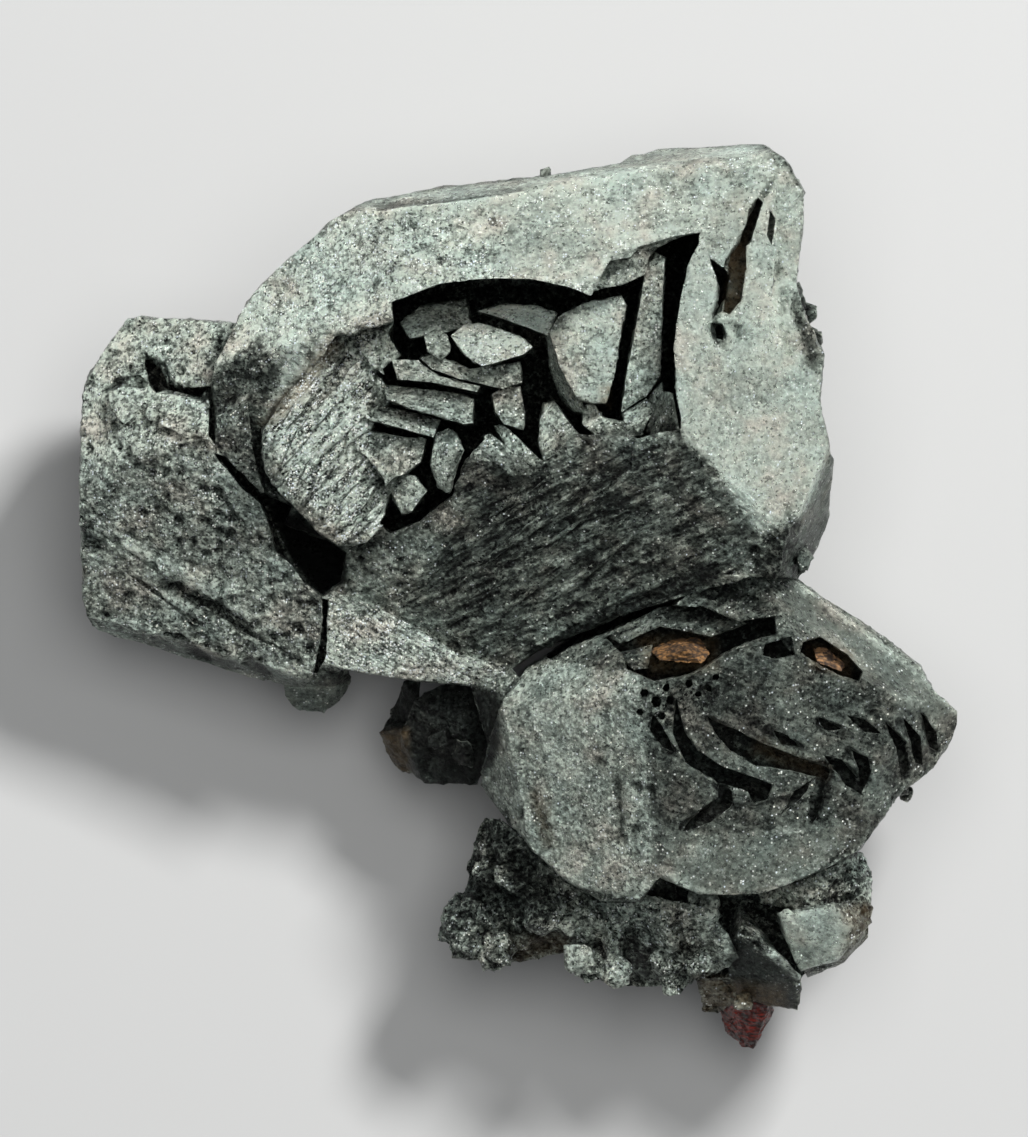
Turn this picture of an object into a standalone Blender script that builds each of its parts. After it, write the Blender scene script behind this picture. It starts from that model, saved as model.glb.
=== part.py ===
"""Hematite specimen: hopper crystals grown together, lying on their back.

The specimen lies on a table (Z = 0) with its hollow crystal face up. Outlines are drawn on a plan of that
view: x to the right, y towards the bottom end, and a height above the table, all in plan units.
"""

import math
import random

import bmesh
import bpy
from mathutils import Quaternion, Vector

# Driving dimensions, in metres
SPECIMEN_LENGTH = 0.0731
SPECIMEN_THICKNESS = 0.0392
GAP = 0.0003

# The plan: its extent along the specimen, its highest point, and the point that lies over the origin
PLAN_LENGTH = 91.4
PLAN_THICKNESS = 49.0
PLAN_CENTRE = (51.8, 60.0)

UNIT = SPECIMEN_LENGTH / PLAN_LENGTH
RISE = SPECIMEN_THICKNESS / PLAN_THICKNESS
TABLE = 0.0
SKY = 60.0

# Big hopper crystal: outline, and the flat faces that cut it in front and behind
BIG_OUTLINE = [
    (24.3, 30.9), (26.2, 28.4), (30.0, 25.0), (33.2, 22.1), (36.5, 20.2), (44.5, 18.7), (54.3, 17.7),
    (62.0, 16.3), (63.5, 15.0), (70.0, 14.7), (76.3, 14.4), (78.5, 16.2), (80.3, 19.0), (80.2, 23.0),
    (79.6, 28.5), (80.6, 31.8), (82.3, 35.5), (81.9, 40.0), (82.8, 44.0), (83.4, 46.5), (82.8, 52.0),
    (81.5, 55.5), (79.8, 57.8), (75.0, 57.6), (62.0, 61.6), (53.5, 65.2), (50.4, 67.4), (40.0, 66.0),
    (31.6, 62.0), (26.0, 53.0), (21.5, 45.5), (20.7, 43.0), (20.7, 40.0), (21.5, 36.5),
]
BIG_FRONT = [
    ((48.0, 28.9, 47.0), (36.5, 21.0, 40.6), (77.0, 15.4, 42.5)),
    ((69.2, 23.7, 47.5), (68.3, 44.0, 46.3), (82.9, 45.5, 40.8)),
    ((68.3, 44.5, 45.5), (76.5, 54.0, 41.0), (53.5, 64.0, 27.0)),
    ((36.5, 21.0, 40.6), (38.8, 31.5, 46.0), (25.0, 30.0, 37.0)),
    ((26.2, 43.0, 39.3), (30.0, 50.5, 35.0), (21.5, 46.0, 31.0)),
    ((36.5, 21.0, 40.6), (77.0, 15.4, 42.5), (62.0, 16.3, 36.0)),
    ((83.2, 44.0, 40.5), (79.0, 53.5, 41.0), (79.8, 57.8, 32.0)),
]
BIG_BACK = [
    ((36.0, 20.2, 28.0), (76.0, 14.6, 29.0), (55.0, 28.0, 0.0)),
    ((80.4, 20.0, 30.0), (83.4, 47.0, 28.0), (70.5, 40.0, 0.0)),
    ((77.0, 15.0, 30.0), (80.4, 20.0, 30.0), (68.0, 30.0, 0.0)),
    ((83.0, 51.0, 27.0), (79.8, 57.8, 26.0), (69.0, 48.0, 0.0)),
    ((50.4, 67.4, 16.0), (79.0, 57.8, 24.0), (60.0, 56.0, 0.0)),
    ((31.0, 61.0, 18.0), (45.0, 67.0, 15.0), (43.0, 57.0, 0.0)),
    ((21.0, 42.0, 26.0), (27.0, 55.0, 20.0), (36.0, 46.0, 0.0)),
    ((21.0, 38.0, 27.0), (31.0, 24.0, 29.0), (36.5, 34.0, 0.0)),
]

# Foot ledge of the big crystal, below its dark lower face
FOOT_LEDGE = [
    (31.6, 58.6, 25.4), (36.0, 60.0, 25.6), (40.0, 62.0, 25.6), (46.0, 65.6, 25.2), (50.6, 66.6, 24.8),
    (49.6, 68.9, 23.2), (42.5, 68.3, 23.2), (34.0, 66.9, 23.0), (31.3, 66.4, 22.8),
]
FOOT_FLOOR = 9.0

# Hollow: its mouth and its floor, corner by corner, the floor undercutting the two beams
HOLLOW_MOUTH = [
    (39.4, 31.0), (44.0, 29.2), (48.5, 28.7), (53.0, 28.7), (56.0, 29.3), (59.0, 30.4), (62.0, 29.6),
    (64.3, 28.5), (65.0, 25.6), (69.4, 23.7), (68.0, 26.5), (67.2, 30.0), (66.6, 35.0), (67.0, 40.0),
    (67.6, 42.6), (64.0, 43.6), (60.0, 43.2), (57.4, 43.0), (54.8, 45.8), (51.5, 46.0), (48.6, 43.4),
    (46.2, 45.8), (45.0, 49.4), (42.0, 52.0), (39.0, 53.2), (37.0, 52.6), (38.6, 49.0), (37.2, 45.0),
    (36.1, 42.2), (38.7, 39.7), (36.9, 37.2), (39.3, 35.5), (38.0, 33.2),
]
HOLLOW_FLOOR = [
    (38.8, 29.0), (44.0, 27.0), (48.5, 26.4), (53.0, 26.4), (56.0, 27.0), (59.0, 27.6), (62.0, 27.0),
    (64.6, 26.0), (66.6, 23.6), (71.0, 22.6), (70.6, 26.5), (69.8, 30.0), (69.0, 35.0), (69.0, 40.0),
    (69.0, 43.6), (64.0, 44.4), (60.0, 44.0), (57.4, 44.0), (54.8, 46.6), (51.5, 46.6), (48.6, 44.4),
    (46.8, 46.4), (45.4, 49.6), (42.0, 52.2), (39.0, 53.4), (38.0, 52.4), (39.4, 49.0), (38.4, 45.0),
    (37.3, 42.2), (39.9, 39.8), (38.1, 37.3), (40.5, 35.6), (39.2, 33.5),
]
HOLLOW_FLOOR_HEIGHT = 19.0

# Left wall of the hollow: its outline and flat face, and the growth steps that run beside its crest,
# each with its ends, half width and rise
WALL_OUTLINE = [
    (33.5, 33.7), (32.4, 35.6), (30.0, 38.0), (28.3, 40.0), (26.3, 43.0), (26.1, 45.2), (26.6, 47.4),
    (28.2, 49.7), (30.2, 51.6), (33.2, 54.9), (36.6, 54.4), (40.4, 50.0), (40.4, 42.0), (40.2, 36.0),
    (40.5, 31.9),
]
WALL_FACE = ((33.5, 33.8, 39.4), (26.2, 43.0, 39.2), (38.4, 42.0, 36.0))
WALL_FLOOR = 15.4
WALL_SPARE = 0.6
WALL_SHRINK = 0.985
WALL_STEPS = [
    ((27.6, 44.0), (35.0, 34.4), 0.6, 0.9),
    ((28.2, 46.6), (36.0, 36.2), 0.8, 1.3),
    ((29.6, 48.8), (37.4, 38.6), 0.7, 1.0),
    ((30.4, 50.6), (35.4, 43.8), 0.6, 1.2),
    ((34.6, 44.6), (38.0, 40.4), 0.6, 0.86),
    ((32.4, 52.0), (37.0, 45.4), 0.7, 1.06),
    ((33.4, 53.6), (37.6, 48.4), 0.6, 1.14),
    ((35.0, 54.0), (38.6, 49.8), 0.5, 0.78),
    ((30.2, 41.4), (33.6, 37.4), 0.4, 0.82),
    ((35.6, 33.6), (38.4, 37.4), 0.5, 0.7),
]
WALL_STEP_DEPTH = 1.5

# Plates in the hollow: corners with the height of the top at each
PLATE_FLOOR = 16.0
PLATES = [
    # Dim ledge under the top beam
    [(40.0, 32.2, 36), (42.1, 30.5, 34.6), (46.6, 29.9, 33), (47.2, 32.4, 35.6), (44.6, 33.2, 38),
     (41.0, 33.8, 38)],
    # Upper bright plate
    [(47.8, 31.1, 38), (50.0, 30.4, 37), (53.0, 30.5, 38), (55.7, 31.3, 39), (54.8, 33.6, 41.4),
     (51.5, 32.3, 40.6)],
    # Kite plate
    [(45.2, 33.6, 39.6), (46.5, 32.5, 39), (47.8, 32.3, 39), (52.0, 33.6, 40.6), (53.3, 34.7, 41.4),
     (52.4, 35.5, 42), (48.2, 36.7, 42.6), (46.6, 35.6, 41.4)],
    # Small rounded plate
    [(42.4, 33.3, 38.6), (43.5, 32.3, 38.4), (44.7, 33.6, 39), (45.0, 35.1, 40), (44.1, 35.96, 40.4),
     (42.8, 35.1, 40)],
    # Slat below the kite
    [(42.0, 35.8, 38), (43.3, 35.4, 38.2), (47.0, 36.9, 39), (52.0, 36.2, 39), (52.2, 38.2, 38),
     (50.3, 38.9, 39),
     (46.0, 37.9, 40.4), (43.2, 36.9, 39.8)],
    # Thin slat
    [(39.2, 36.0, 38.4), (41.8, 36.1, 38.6), (43.9, 37.6, 39.6), (48.0, 38.6, 39.6), (47.7, 39.2, 40.4),
     (43.0, 38.2, 40.6), (39.8, 37.9, 40)],
    # Two broad slats
    [(38.5, 38.6, 37), (42.0, 38.9, 37.6), (46.0, 39.4, 38), (47.3, 39.9, 38.4), (47.3, 42.3, 40.4),
     (46.4, 42.4, 40.4), (41.0, 40.8, 39.8), (38.7, 39.9, 39)],
    [(38.0, 40.6, 36.4), (44.0, 42.0, 37.4), (43.3, 43.7, 39.4), (40.0, 42.8, 39), (36.4, 41.8, 38.2),
     (36.6, 40.8, 37)],
    # Rounded plate beside the left wall
    [(35.0, 42.6, 36.4), (39.5, 43.6, 36.8), (42.6, 43.9, 37.2), (42.1, 46.2, 38.2), (40.6, 47.4, 38.2),
     (38.6, 48.4, 37.6), (37.5, 46.6, 37), (35.6, 45.0, 36.8)],
    # Small tooth beside the triangular hole
    [(39.6, 47.4, 35), (41.5, 47.6, 36), (42.6, 49.1, 36.6), (41.2, 51.0, 36.4), (40.2, 51.3, 35.4),
     (39.2, 49.4, 34.6)],
    # Diamond
    [(43.6, 43.4, 37), (44.8, 42.9, 37.4), (45.6, 43.3, 38), (46.3, 45.0, 38.8), (45.6, 46.6, 39.4),
     (44.9, 49.2, 38), (43.9, 48.6, 37.4), (43.1, 46.5, 37.4)],
    # Plate between the two dark gaps
    [(49.2, 39.5, 37), (50.4, 38.6, 37), (52.0, 38.8, 36.8), (52.5, 41.6, 38), (52.3, 42.9, 39),
     (50.4, 42.4, 38.8), (49.6, 41.2, 38)],
    # Flame-like ledges below it
    [(49.5, 42.6, 37), (50.4, 42.6, 38), (52.4, 44.4, 39), (54.4, 46.6, 39.6), (52.4, 46.8, 39.6),
     (50.8, 45.2, 38.6)],
    [(48.4, 43.6, 38.6), (49.0, 43.4, 38.8), (51.6, 45.6, 39.8), (53.6, 47.4, 39.6), (51.0, 47.4, 39.4),
     (49.0, 45.6, 39)],
    # Big wedge
    [(54.9, 33.4, 41), (55.8, 31.7, 40.6), (58.4, 30.4, 41), (62.1, 29.6, 41.6), (62.6, 30.6, 42.4),
     (61.6, 36.0, 42), (60.6, 40.4, 41.6), (59.2, 40.4, 41.6), (57.6, 39.8, 41.4), (56.0, 36.6, 41.2)],
    # Bevel on the wedge's left side
    [(54.6, 33.6, 37), (56.0, 33.4, 40.8), (58.1, 39.6, 41), (58.4, 41.2, 39), (57.4, 41.2, 37),
     (56.0, 39.6, 36), (55.0, 36.6, 36)],
    # Tooth under the wedge
    [(54.4, 40.4, 37), (55.4, 40.1, 38), (57.2, 42.6, 40), (58.4, 44.0, 41.4), (54.4, 46.0, 40),
     (53.9, 44.4, 38.6), (54.0, 42.0, 38)],
    # Curved ledges between the wedge and the blade
    [(58.4, 40.6, 38), (59.2, 40.2, 39), (60.3, 41.7, 40), (62.4, 42.2, 40.4), (64.2, 43.4, 41.6),
     (62.0, 44.0, 41.8),
     (59.6, 43.6, 40.6), (58.2, 42.4, 39.4)],
    # Blade
    [(64.7, 26.3, 43), (65.5, 25.4, 44), (66.5, 25.8, 43), (66.2, 31.0, 42.4), (66.0, 37.6, 41.6),
     (64.6, 39.6, 41), (62.1, 41.2, 40), (62.6, 38.0, 41), (63.5, 33.0, 42), (64.2, 29.0, 42.8)],
    # Broken flakes at the foot of the blade
    [(62.2, 41.4, 39.4), (64.6, 39.8, 40), (65.4, 41.0, 41.4), (64.0, 43.4, 42), (62.6, 42.6, 40.6)],
    [(64.9, 39.6, 39.4), (66.2, 38.2, 40.6), (66.5, 41.6, 42.4), (65.6, 43.8, 43), (64.7, 43.0, 41)],
    [(66.3, 39.2, 41), (67.2, 39.4, 43.6), (67.9, 43.0, 44.6), (66.6, 44.4, 43.8), (66.2, 42.4, 42)],
]

# Thin second layer under the upper end of the top beam
SECOND_LAYER = [
    (59.6, 28.6, 44.6), (61.0, 26.1, 44.6), (63.0, 25.8, 45.4), (64.2, 24.6, 45.6), (66.4, 24.0, 45.8),
    (69.3, 23.5, 46.2), (66.6, 24.9, 45.2), (65.2, 26.2, 44.8), (64.4, 28.4, 44.8), (62.2, 29.5, 44.8),
]
SECOND_LAYER_FLOOR = 42.0
LAYER_STEP = [
    (58.6, 30.6), (60.9, 26.2), (63.0, 25.8), (64.0, 24.7), (66.5, 24.0), (69.4, 23.4), (69.4, 25.4),
    (64.6, 30.6),
]
LAYER_STEP_FLOOR = 44.4

# Slots and sunken bands cut in the right beam, each with the height that it is cut down to
BEAM_SLOTS = [
    ([(70.3, 24.0), (71.0, 26.0), (72.5, 27.0), (72.8, 27.8), (72.55, 29.8), (71.3, 32.0),
      (71.8, 29.0)], 33.0),
    ([(74.6, 23.4), (74.6, 27.0), (74.0, 30.2), (72.9, 31.6), (72.2, 31.2), (73.0, 25.6)], 40.0),
    ([(75.7, 19.8), (76.2, 20.4), (75.0, 24.4), (73.5, 25.6), (74.6, 22.4)], 39.0),
    ([(71.5, 32.5), (72.2, 32.7), (72.3, 34.0), (71.7, 33.8)], 40.0),
    ([(76.9, 21.0), (77.5, 22.0), (77.1, 24.6), (76.6, 23.6)], 42.4),
]
RIGHT_TERRACE = [(77.4, 17.0), (84.0, 17.0), (84.0, 30.0), (78.6, 36.0), (77.0, 30.0), (77.6, 24.0)]
RIGHT_TERRACE_DEPTH = 0.7

# Laths: long narrow ribs on the lower dark face, each with its ends and half width
LATH_RISE = 0.45
LATHS = [
    ((43.0, 57.6), (55.4, 47.4), 0.42),
    ((45.2, 59.0), (59.4, 47.6), 0.50),
    ((48.0, 60.0), (60.6, 50.0), 0.36),
    ((46.6, 54.0), (52.6, 48.6), 0.34),
    ((50.4, 61.4), (63.0, 51.4), 0.46),
    ((54.6, 60.4), (64.4, 52.8), 0.34),
    ((41.6, 55.4), (46.8, 51.2), 0.36),
    ((57.0, 52.0), (63.4, 46.8), 0.40),
]

# Left crystal: outline, front and back faces, and the relief on its upper face
LEFT_OUTLINE = [
    (12.5, 31.8), (14.0, 31.6), (20.5, 32.0), (24.0, 32.3), (25.0, 44.0), (27.0, 52.0), (29.8, 56.5),
    (31.8, 59.2),
    (32.2, 61.5), (31.6, 65.0), (31.0, 67.6), (30.2, 68.7), (27.8, 68.4), (24.0, 67.6), (19.7, 67.0),
    (14.5, 65.6), (12.2, 64.5), (9.0, 62.8), (8.4, 61.5), (8.0, 60.0), (7.8, 54.0), (7.7, 48.0), (8.1, 39.5),
    (8.6, 37.6), (11.0, 34.0),
]
LEFT_FRONT = [
    ((7.9, 46.5, 30.0), (20.7, 43.8, 36.0), (14.0, 31.8, 27.0)),
    ((7.9, 46.5, 30.0), (20.7, 43.8, 36.0), (20.0, 67.0, 20.0)),
    ((8.2, 38.0, 26.0), (7.8, 46.5, 27.0), (11.5, 40.0, 29.5)),
    ((9.0, 62.6, 16.0), (30.0, 68.5, 19.0), (20.0, 65.0, 20.9)),
]
LEFT_BACK = [
    ((12.5, 31.8, 20.0), (24.0, 32.3, 21.0), (18.0, 38.0, 4.0)),
    ((8.1, 39.0, 19.0), (7.8, 58.0, 17.0), (13.0, 48.0, 4.0)),
    ((9.0, 62.8, 15.0), (30.2, 68.7, 14.0), (20.0, 60.0, 4.0)),
    ((12.0, 40.0, 5.0), (30.0, 42.0, 4.0), (24.0, 60.0, 5.0)),
    ((12.5, 31.8, 19.0), (8.1, 39.5, 19.0), (14.0, 40.0, 6.0)),
]
LEFT_PITS = [
    ([(14.2, 35.8), (15.1, 36.0), (16.0, 36.8), (16.6, 38.4), (20.6, 38.7), (20.0, 39.6), (16.5, 38.9),
      (15.5, 39.3), (14.7, 38.4)], 25.0),
    ([(11.8, 37.9), (14.0, 37.4), (14.9, 38.5), (14.0, 38.9), (12.4, 38.6)], 28.6),
]
LEFT_PLATES = [
    [(10.8, 39.2, 29.6), (13.0, 38.4, 30.0), (14.8, 38.1, 30.6), (14.1, 40.6, 31.8), (12.4, 42.6, 32.0),
     (11.0, 41.0, 30.6)],
    [(15.6, 39.6, 31.2), (20.4, 39.2, 32.6), (20.7, 40.6, 34.4), (20.6, 43.4, 36.4), (18.6, 43.8, 35.6),
     (16.0, 42.4, 33.8)],
]
LEFT_PLATE_FLOOR = 24.0

# Grooves pressed in the left crystal's dark face, each with its ends and half width
LEFT_GROOVE_DEPTH = 0.55
LEFT_GROOVES = [
    ((8.6, 52.6), (17.6, 58.2), 0.32),
    ((17.4, 58.8), (28.6, 65.4), 0.36),
    ((12.0, 57.0), (20.0, 62.6), 0.26),
    ((20.7, 47.8), (26.1, 54.7), 0.25),
    ((14.6, 49.4), (19.4, 53.0), 0.24),
]

# Dark joints between the big crystal and its neighbours: an outline and the height it is cut down to
JOINT_FLOOR = 15.0
JOINTS = [
    ([(21.3, 45.3), (22.6, 45.6), (26.0, 49.0), (29.2, 50.6), (28.4, 52.4), (31.6, 53.6), (32.6, 53.8),
      (34.6, 55.2),
      (34.0, 58.2), (32.2, 59.6), (30.2, 58.2), (29.2, 56.6), (27.6, 55.2), (26.8, 52.8), (26.0, 50.4),
      (23.6, 48.2)], JOINT_FLOOR),
    ([(20.4, 38.6), (21.1, 38.6), (21.5, 41.0), (21.6, 44.6), (20.8, 43.6), (20.9, 40.6)], 30.0),
    ([(31.9, 59.8), (32.7, 60.0), (32.6, 65.6), (31.6, 67.4), (31.0, 67.4), (31.8, 64.4),
      (32.1, 61.6)], JOINT_FLOOR),
]

# Lower-right crystal: outline, front and back faces
RIGHT_OUTLINE = [
    (48.2, 77.4), (49.0, 74.0), (50.4, 70.0), (52.6, 67.0), (54.6, 65.8), (60.0, 61.8), (66.0, 59.8),
    (69.2, 58.6),
    (72.0, 57.1), (79.6, 57.6), (82.0, 59.6), (86.0, 62.0), (89.0, 64.0), (92.0, 66.8), (93.5, 69.2),
    (95.8, 71.2),
    (95.9, 72.2), (95.5, 73.6), (93.5, 76.8), (90.6, 79.0), (88.0, 82.4), (86.2, 85.0), (84.4, 86.0),
    (80.0, 88.0),
    (77.0, 89.0), (74.0, 89.4), (70.0, 89.4), (66.0, 87.8), (64.0, 90.2), (60.0, 90.2), (56.5, 88.0),
    (53.0, 84.8),
    (50.0, 81.2), (48.2, 78.6),
]
RIGHT_FRONT = [
    ((64.0, 69.0, 39.0), (66.0, 87.0, 33.0), (50.0, 78.0, 28.0)),
    ((64.0, 69.0, 39.0), (88.0, 72.0, 33.6), (70.0, 88.0, 33.0)),
    ((64.0, 66.6, 39.2), (82.0, 63.4, 37.0), (72.0, 57.4, 32.6)),
    ((64.0, 69.0, 39.0), (54.0, 66.5, 30.0), (60.0, 62.5, 31.0)),
    ((82.0, 65.0, 36.0), (93.0, 71.0, 31.5), (86.0, 62.0, 28.0)),
    ((91.0, 70.0, 32.6), (91.0, 79.0, 28.6), (95.8, 72.0, 27.0)),
    ((50.0, 74.0, 28.4), (51.0, 81.6, 25.4), (48.2, 77.6, 23.0)),
]
RIGHT_BACK = [
    ((48.2, 77.6, 17.0), (53.0, 85.0, 16.0), (60.0, 74.0, 0.0)),
    ((54.0, 86.0, 16.0), (78.0, 89.0, 18.0), (66.0, 80.0, 0.0)),
    ((95.9, 72.0, 20.0), (88.0, 83.0, 19.0), (80.0, 74.0, 0.0)),
    ((95.9, 71.5, 20.0), (82.0, 59.5, 22.0), (78.0, 68.0, 0.0)),
]

# Lower-right crystal's hollows with their floors, its grooves with their depths, and its pores
RIGHT_HOLLOWS = [
    ([(60.4, 63.8), (63.6, 62.0), (66.0, 60.6), (70.0, 60.6), (74.0, 62.0), (77.6, 61.6), (77.8, 63.4),
      (76.2, 63.9),
      (74.0, 64.7), (72.2, 65.6), (70.6, 66.8), (68.0, 67.8), (65.4, 68.2), (62.8, 67.0),
      (62.2, 65.6)], 28.0),
    ([(80.3, 64.2), (82.0, 63.6), (84.8, 65.4), (86.4, 67.2), (86.0, 68.2), (83.8, 67.6), (81.0, 66.1),
      (79.8, 65.4)], 27.0),
    ([(76.4, 64.4), (79.2, 63.6), (79.6, 65.5), (77.6, 66.0), (76.2, 65.6)], 32.4),
    ([(54.2, 65.4), (57.4, 63.0), (61.6, 60.9), (67.0, 58.4), (70.0, 56.6), (71.8, 56.8), (69.4, 58.9),
      (66.6, 61.2),
      (62.0, 62.9), (57.4, 64.6), (55.2, 66.2)], 12.0),
]
HOLLOW_LEDGES = [
    [(60.6, 63.4, 30.4), (66.0, 60.8, 31.4), (70.4, 60.6, 31.6), (74.6, 62.4, 33.4), (71.2, 63.6, 33.8),
     (66.0, 62.6, 32.6), (62.0, 64.4, 31.6)],
    [(62.0, 65.3, 32.0), (65.2, 64.6, 31.4), (64.8, 66.8, 34.6), (63.4, 67.0, 35.6)],
    [(77.6, 61.2, 34.0), (79.4, 61.0, 34.6), (80.0, 64.2, 36.6), (79.0, 65.0, 36.8), (77.8, 63.6, 35.6)],
]
HOLLOW_LEDGE_FLOOR = 24.0
RIGHT_GROOVES = [
    ([(70.6, 71.5), (73.4, 72.8), (76.2, 74.2), (79.6, 75.6), (83.0, 76.9), (82.8, 78.0), (79.0, 77.2),
      (75.4, 76.6), (73.0, 75.1), (71.4, 73.4)], 2.6),
    ([(67.6, 69.8), (68.5, 73.2), (69.8, 75.0), (72.4, 76.7), (77.3, 78.4), (76.8, 80.0), (75.4, 80.5),
      (74.8, 79.2), (71.6, 78.1), (68.6, 76.4), (67.3, 73.4)], 2.75),
    ([(65.3, 71.4), (66.3, 72.9), (67.5, 75.3), (66.3, 74.7), (65.1, 73.0)], 1.8),
    ([(72.3, 77.9), (73.2, 79.2), (73.0, 80.8), (71.0, 82.3), (68.3, 83.2), (70.2, 81.0),
      (71.9, 79.7)], 1.87),
    ([(82.8, 77.1), (82.3, 79.6), (81.3, 82.6), (81.0, 80.0), (81.6, 77.8)], 1.94),
    ([(81.9, 77.5), (80.8, 79.2), (77.8, 81.9), (79.4, 79.1)], 1.62),
    ([(82.2, 75.4), (84.2, 75.9), (86.2, 78.4), (86.4, 79.6), (84.6, 78.6), (83.2, 76.7)], 2.2),
    ([(84.9, 74.7), (86.8, 75.7), (87.2, 77.2), (86.3, 79.4), (85.8, 76.9)], 2.31),
    ([(77.3, 73.0), (78.8, 73.5), (80.2, 74.8), (78.1, 74.5)], 1.7),
    ([(81.9, 71.7), (84.2, 73.0), (82.5, 73.0)], 1.4),
    ([(84.8, 71.6), (86.8, 72.1), (88.2, 73.4), (86.5, 73.3)], 1.76),
    ([(88.5, 72.0), (90.6, 74.4), (91.0, 77.0), (90.2, 77.6), (89.7, 74.8)], 3.2),
    ([(90.3, 71.6), (92.2, 73.8), (92.4, 76.6), (91.6, 76.3), (91.3, 74.2)], 4.4),
    ([(92.3, 71.4), (93.8, 73.2), (94.0, 75.2), (93.2, 74.7)], 5.0),
]
PORES = [
    (64.4, 69.3, 0.5), (65.6, 70.2, 0.6), (66.6, 68.8, 0.45), (67.0, 70.0, 0.45), (68.9, 68.4, 0.4),
    (69.8, 69.4, 0.4), (70.9, 68.9, 0.45), (64.0, 71.2, 0.45), (66.2, 71.6, 0.4), (71.6, 67.7, 0.35),
]
PORE_FLOOR = 34.4

# Small crystals behind the big one: corners of each convex block
SMALL_CRYSTALS = [
    [(28.0, 66.0, 19), (34.4, 66.0, 19), (28.3, 69.7, 15), (29.0, 70.6, 14), (30.0, 71.4, 13),
     (32.2, 71.4, 13),
     (33.6, 70.4, 13), (35.2, 68.0, 15), (29.0, 67.0, 8), (33.6, 67.0, 8)],
    [(40.0, 73.4, 18), (41.5, 70.0, 20), (44.0, 68.6, 20), (49.6, 68.6, 20), (50.0, 75.2, 20),
     (47.6, 78.4, 17),
     (42.4, 78.4, 15), (41.4, 77.8, 13), (40.0, 76.2, 12), (42.0, 70.0, 8), (50.0, 70.0, 8), (47.6, 78.0, 8)],
    [(37.8, 73.4, 14), (40.2, 73.0, 17), (42.0, 77.4, 14), (40.2, 77.4, 11), (38.6, 76.0, 10),
     (40.0, 70.0, 8)],
    [(40.4, 68.0, 16), (42.0, 68.0, 17), (41.6, 72.0, 17), (39.8, 73.4, 13), (38.8, 71.4, 12),
     (40.8, 69.6, 8)],
    [(46.4, 66.6, 22), (50.6, 66.2, 24), (52.4, 68.4, 25), (50.8, 74.0, 25), (49.4, 76.6, 23),
     (48.4, 73.0, 20),
     (50.0, 70.0, 10)],
]

# Cores: plain blocks behind the crystals, where they have grown into each other
CORE_BLOCKS = [
    [(22.0, 42.0, 17), (36.0, 42.0, 17), (38.0, 60.0, 16), (31.0, 65.4, 15), (24.0, 57.0, 16),
     (25.0, 45.0, 5), (35.0, 45.0, 4), (36.0, 59.0, 4), (30.0, 62.0, 6)],
    [(54.0, 83.0, 20), (68.0, 85.0, 22), (85.0, 83.0, 20), (86.0, 91.0, 17), (80.0, 98.4, 17),
     (72.0, 99.0, 17), (60.0, 96.0, 16), (53.0, 91.0, 15), (60.0, 85.0, 6), (80.0, 86.0, 8),
     (78.0, 95.0, 10), (64.0, 94.0, 7)],
]

# Base cluster: blocks, then rough lumps strewn along a patch: centre, half extents and number
CLUSTER_BLOCKS = [
    [(48.0, 82.2, 20), (50.0, 82.0, 23), (53.4, 85.0, 24), (60.0, 90.0, 24), (58.0, 95.2, 20),
     (52.0, 96.4, 16),
     (46.6, 96.4, 14), (45.0, 95.0, 14), (46.4, 91.4, 16), (47.8, 87.0, 18), (52.0, 86.0, 7),
     (56.0, 93.0, 7)],
    [(56.0, 88.0, 24), (64.6, 89.6, 26), (66.0, 91.0, 27), (71.6, 91.2, 27), (74.0, 96.0, 24),
     (70.4, 98.4, 20),
     (64.4, 99.2, 16), (60.4, 98.4, 14), (57.0, 95.4, 16), (60.0, 90.0, 8), (70.0, 94.0, 8)],
    [(74.6, 92.6, 27), (79.6, 97.4, 26), (80.4, 98.2, 24), (80.0, 101.4, 20), (77.4, 101.0, 19),
     (73.8, 100.0, 18),
     (73.4, 98.4, 20), (72.6, 95.4, 22), (74.0, 91.0, 20), (76.0, 94.0, 10), (78.0, 98.0, 11)],
    [(77.8, 91.4, 30), (83.6, 90.4, 30), (85.0, 93.0, 29), (83.6, 96.0, 27), (80.2, 97.2, 25),
     (78.8, 94.4, 27),
     (87.0, 90.4, 23), (87.1, 94.0, 21), (84.6, 96.4, 20), (81.0, 98.0, 20), (78.0, 92.0, 10),
     (83.0, 92.0, 10)],
    [(76.0, 86.6, 27), (84.6, 85.0, 28), (86.6, 85.4, 24), (87.4, 88.0, 23), (87.1, 90.4, 23),
     (82.0, 91.4, 27),
     (76.0, 90.6, 25), (78.0, 88.0, 8), (84.0, 88.0, 9)],
    [(69.6, 98.2, 19), (73.4, 98.0, 20), (74.2, 100.8, 17), (72.6, 101.8, 13), (70.6, 101.6, 13),
     (71.6, 98.6, 9)],
]
LUMP_SEED = 5
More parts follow.
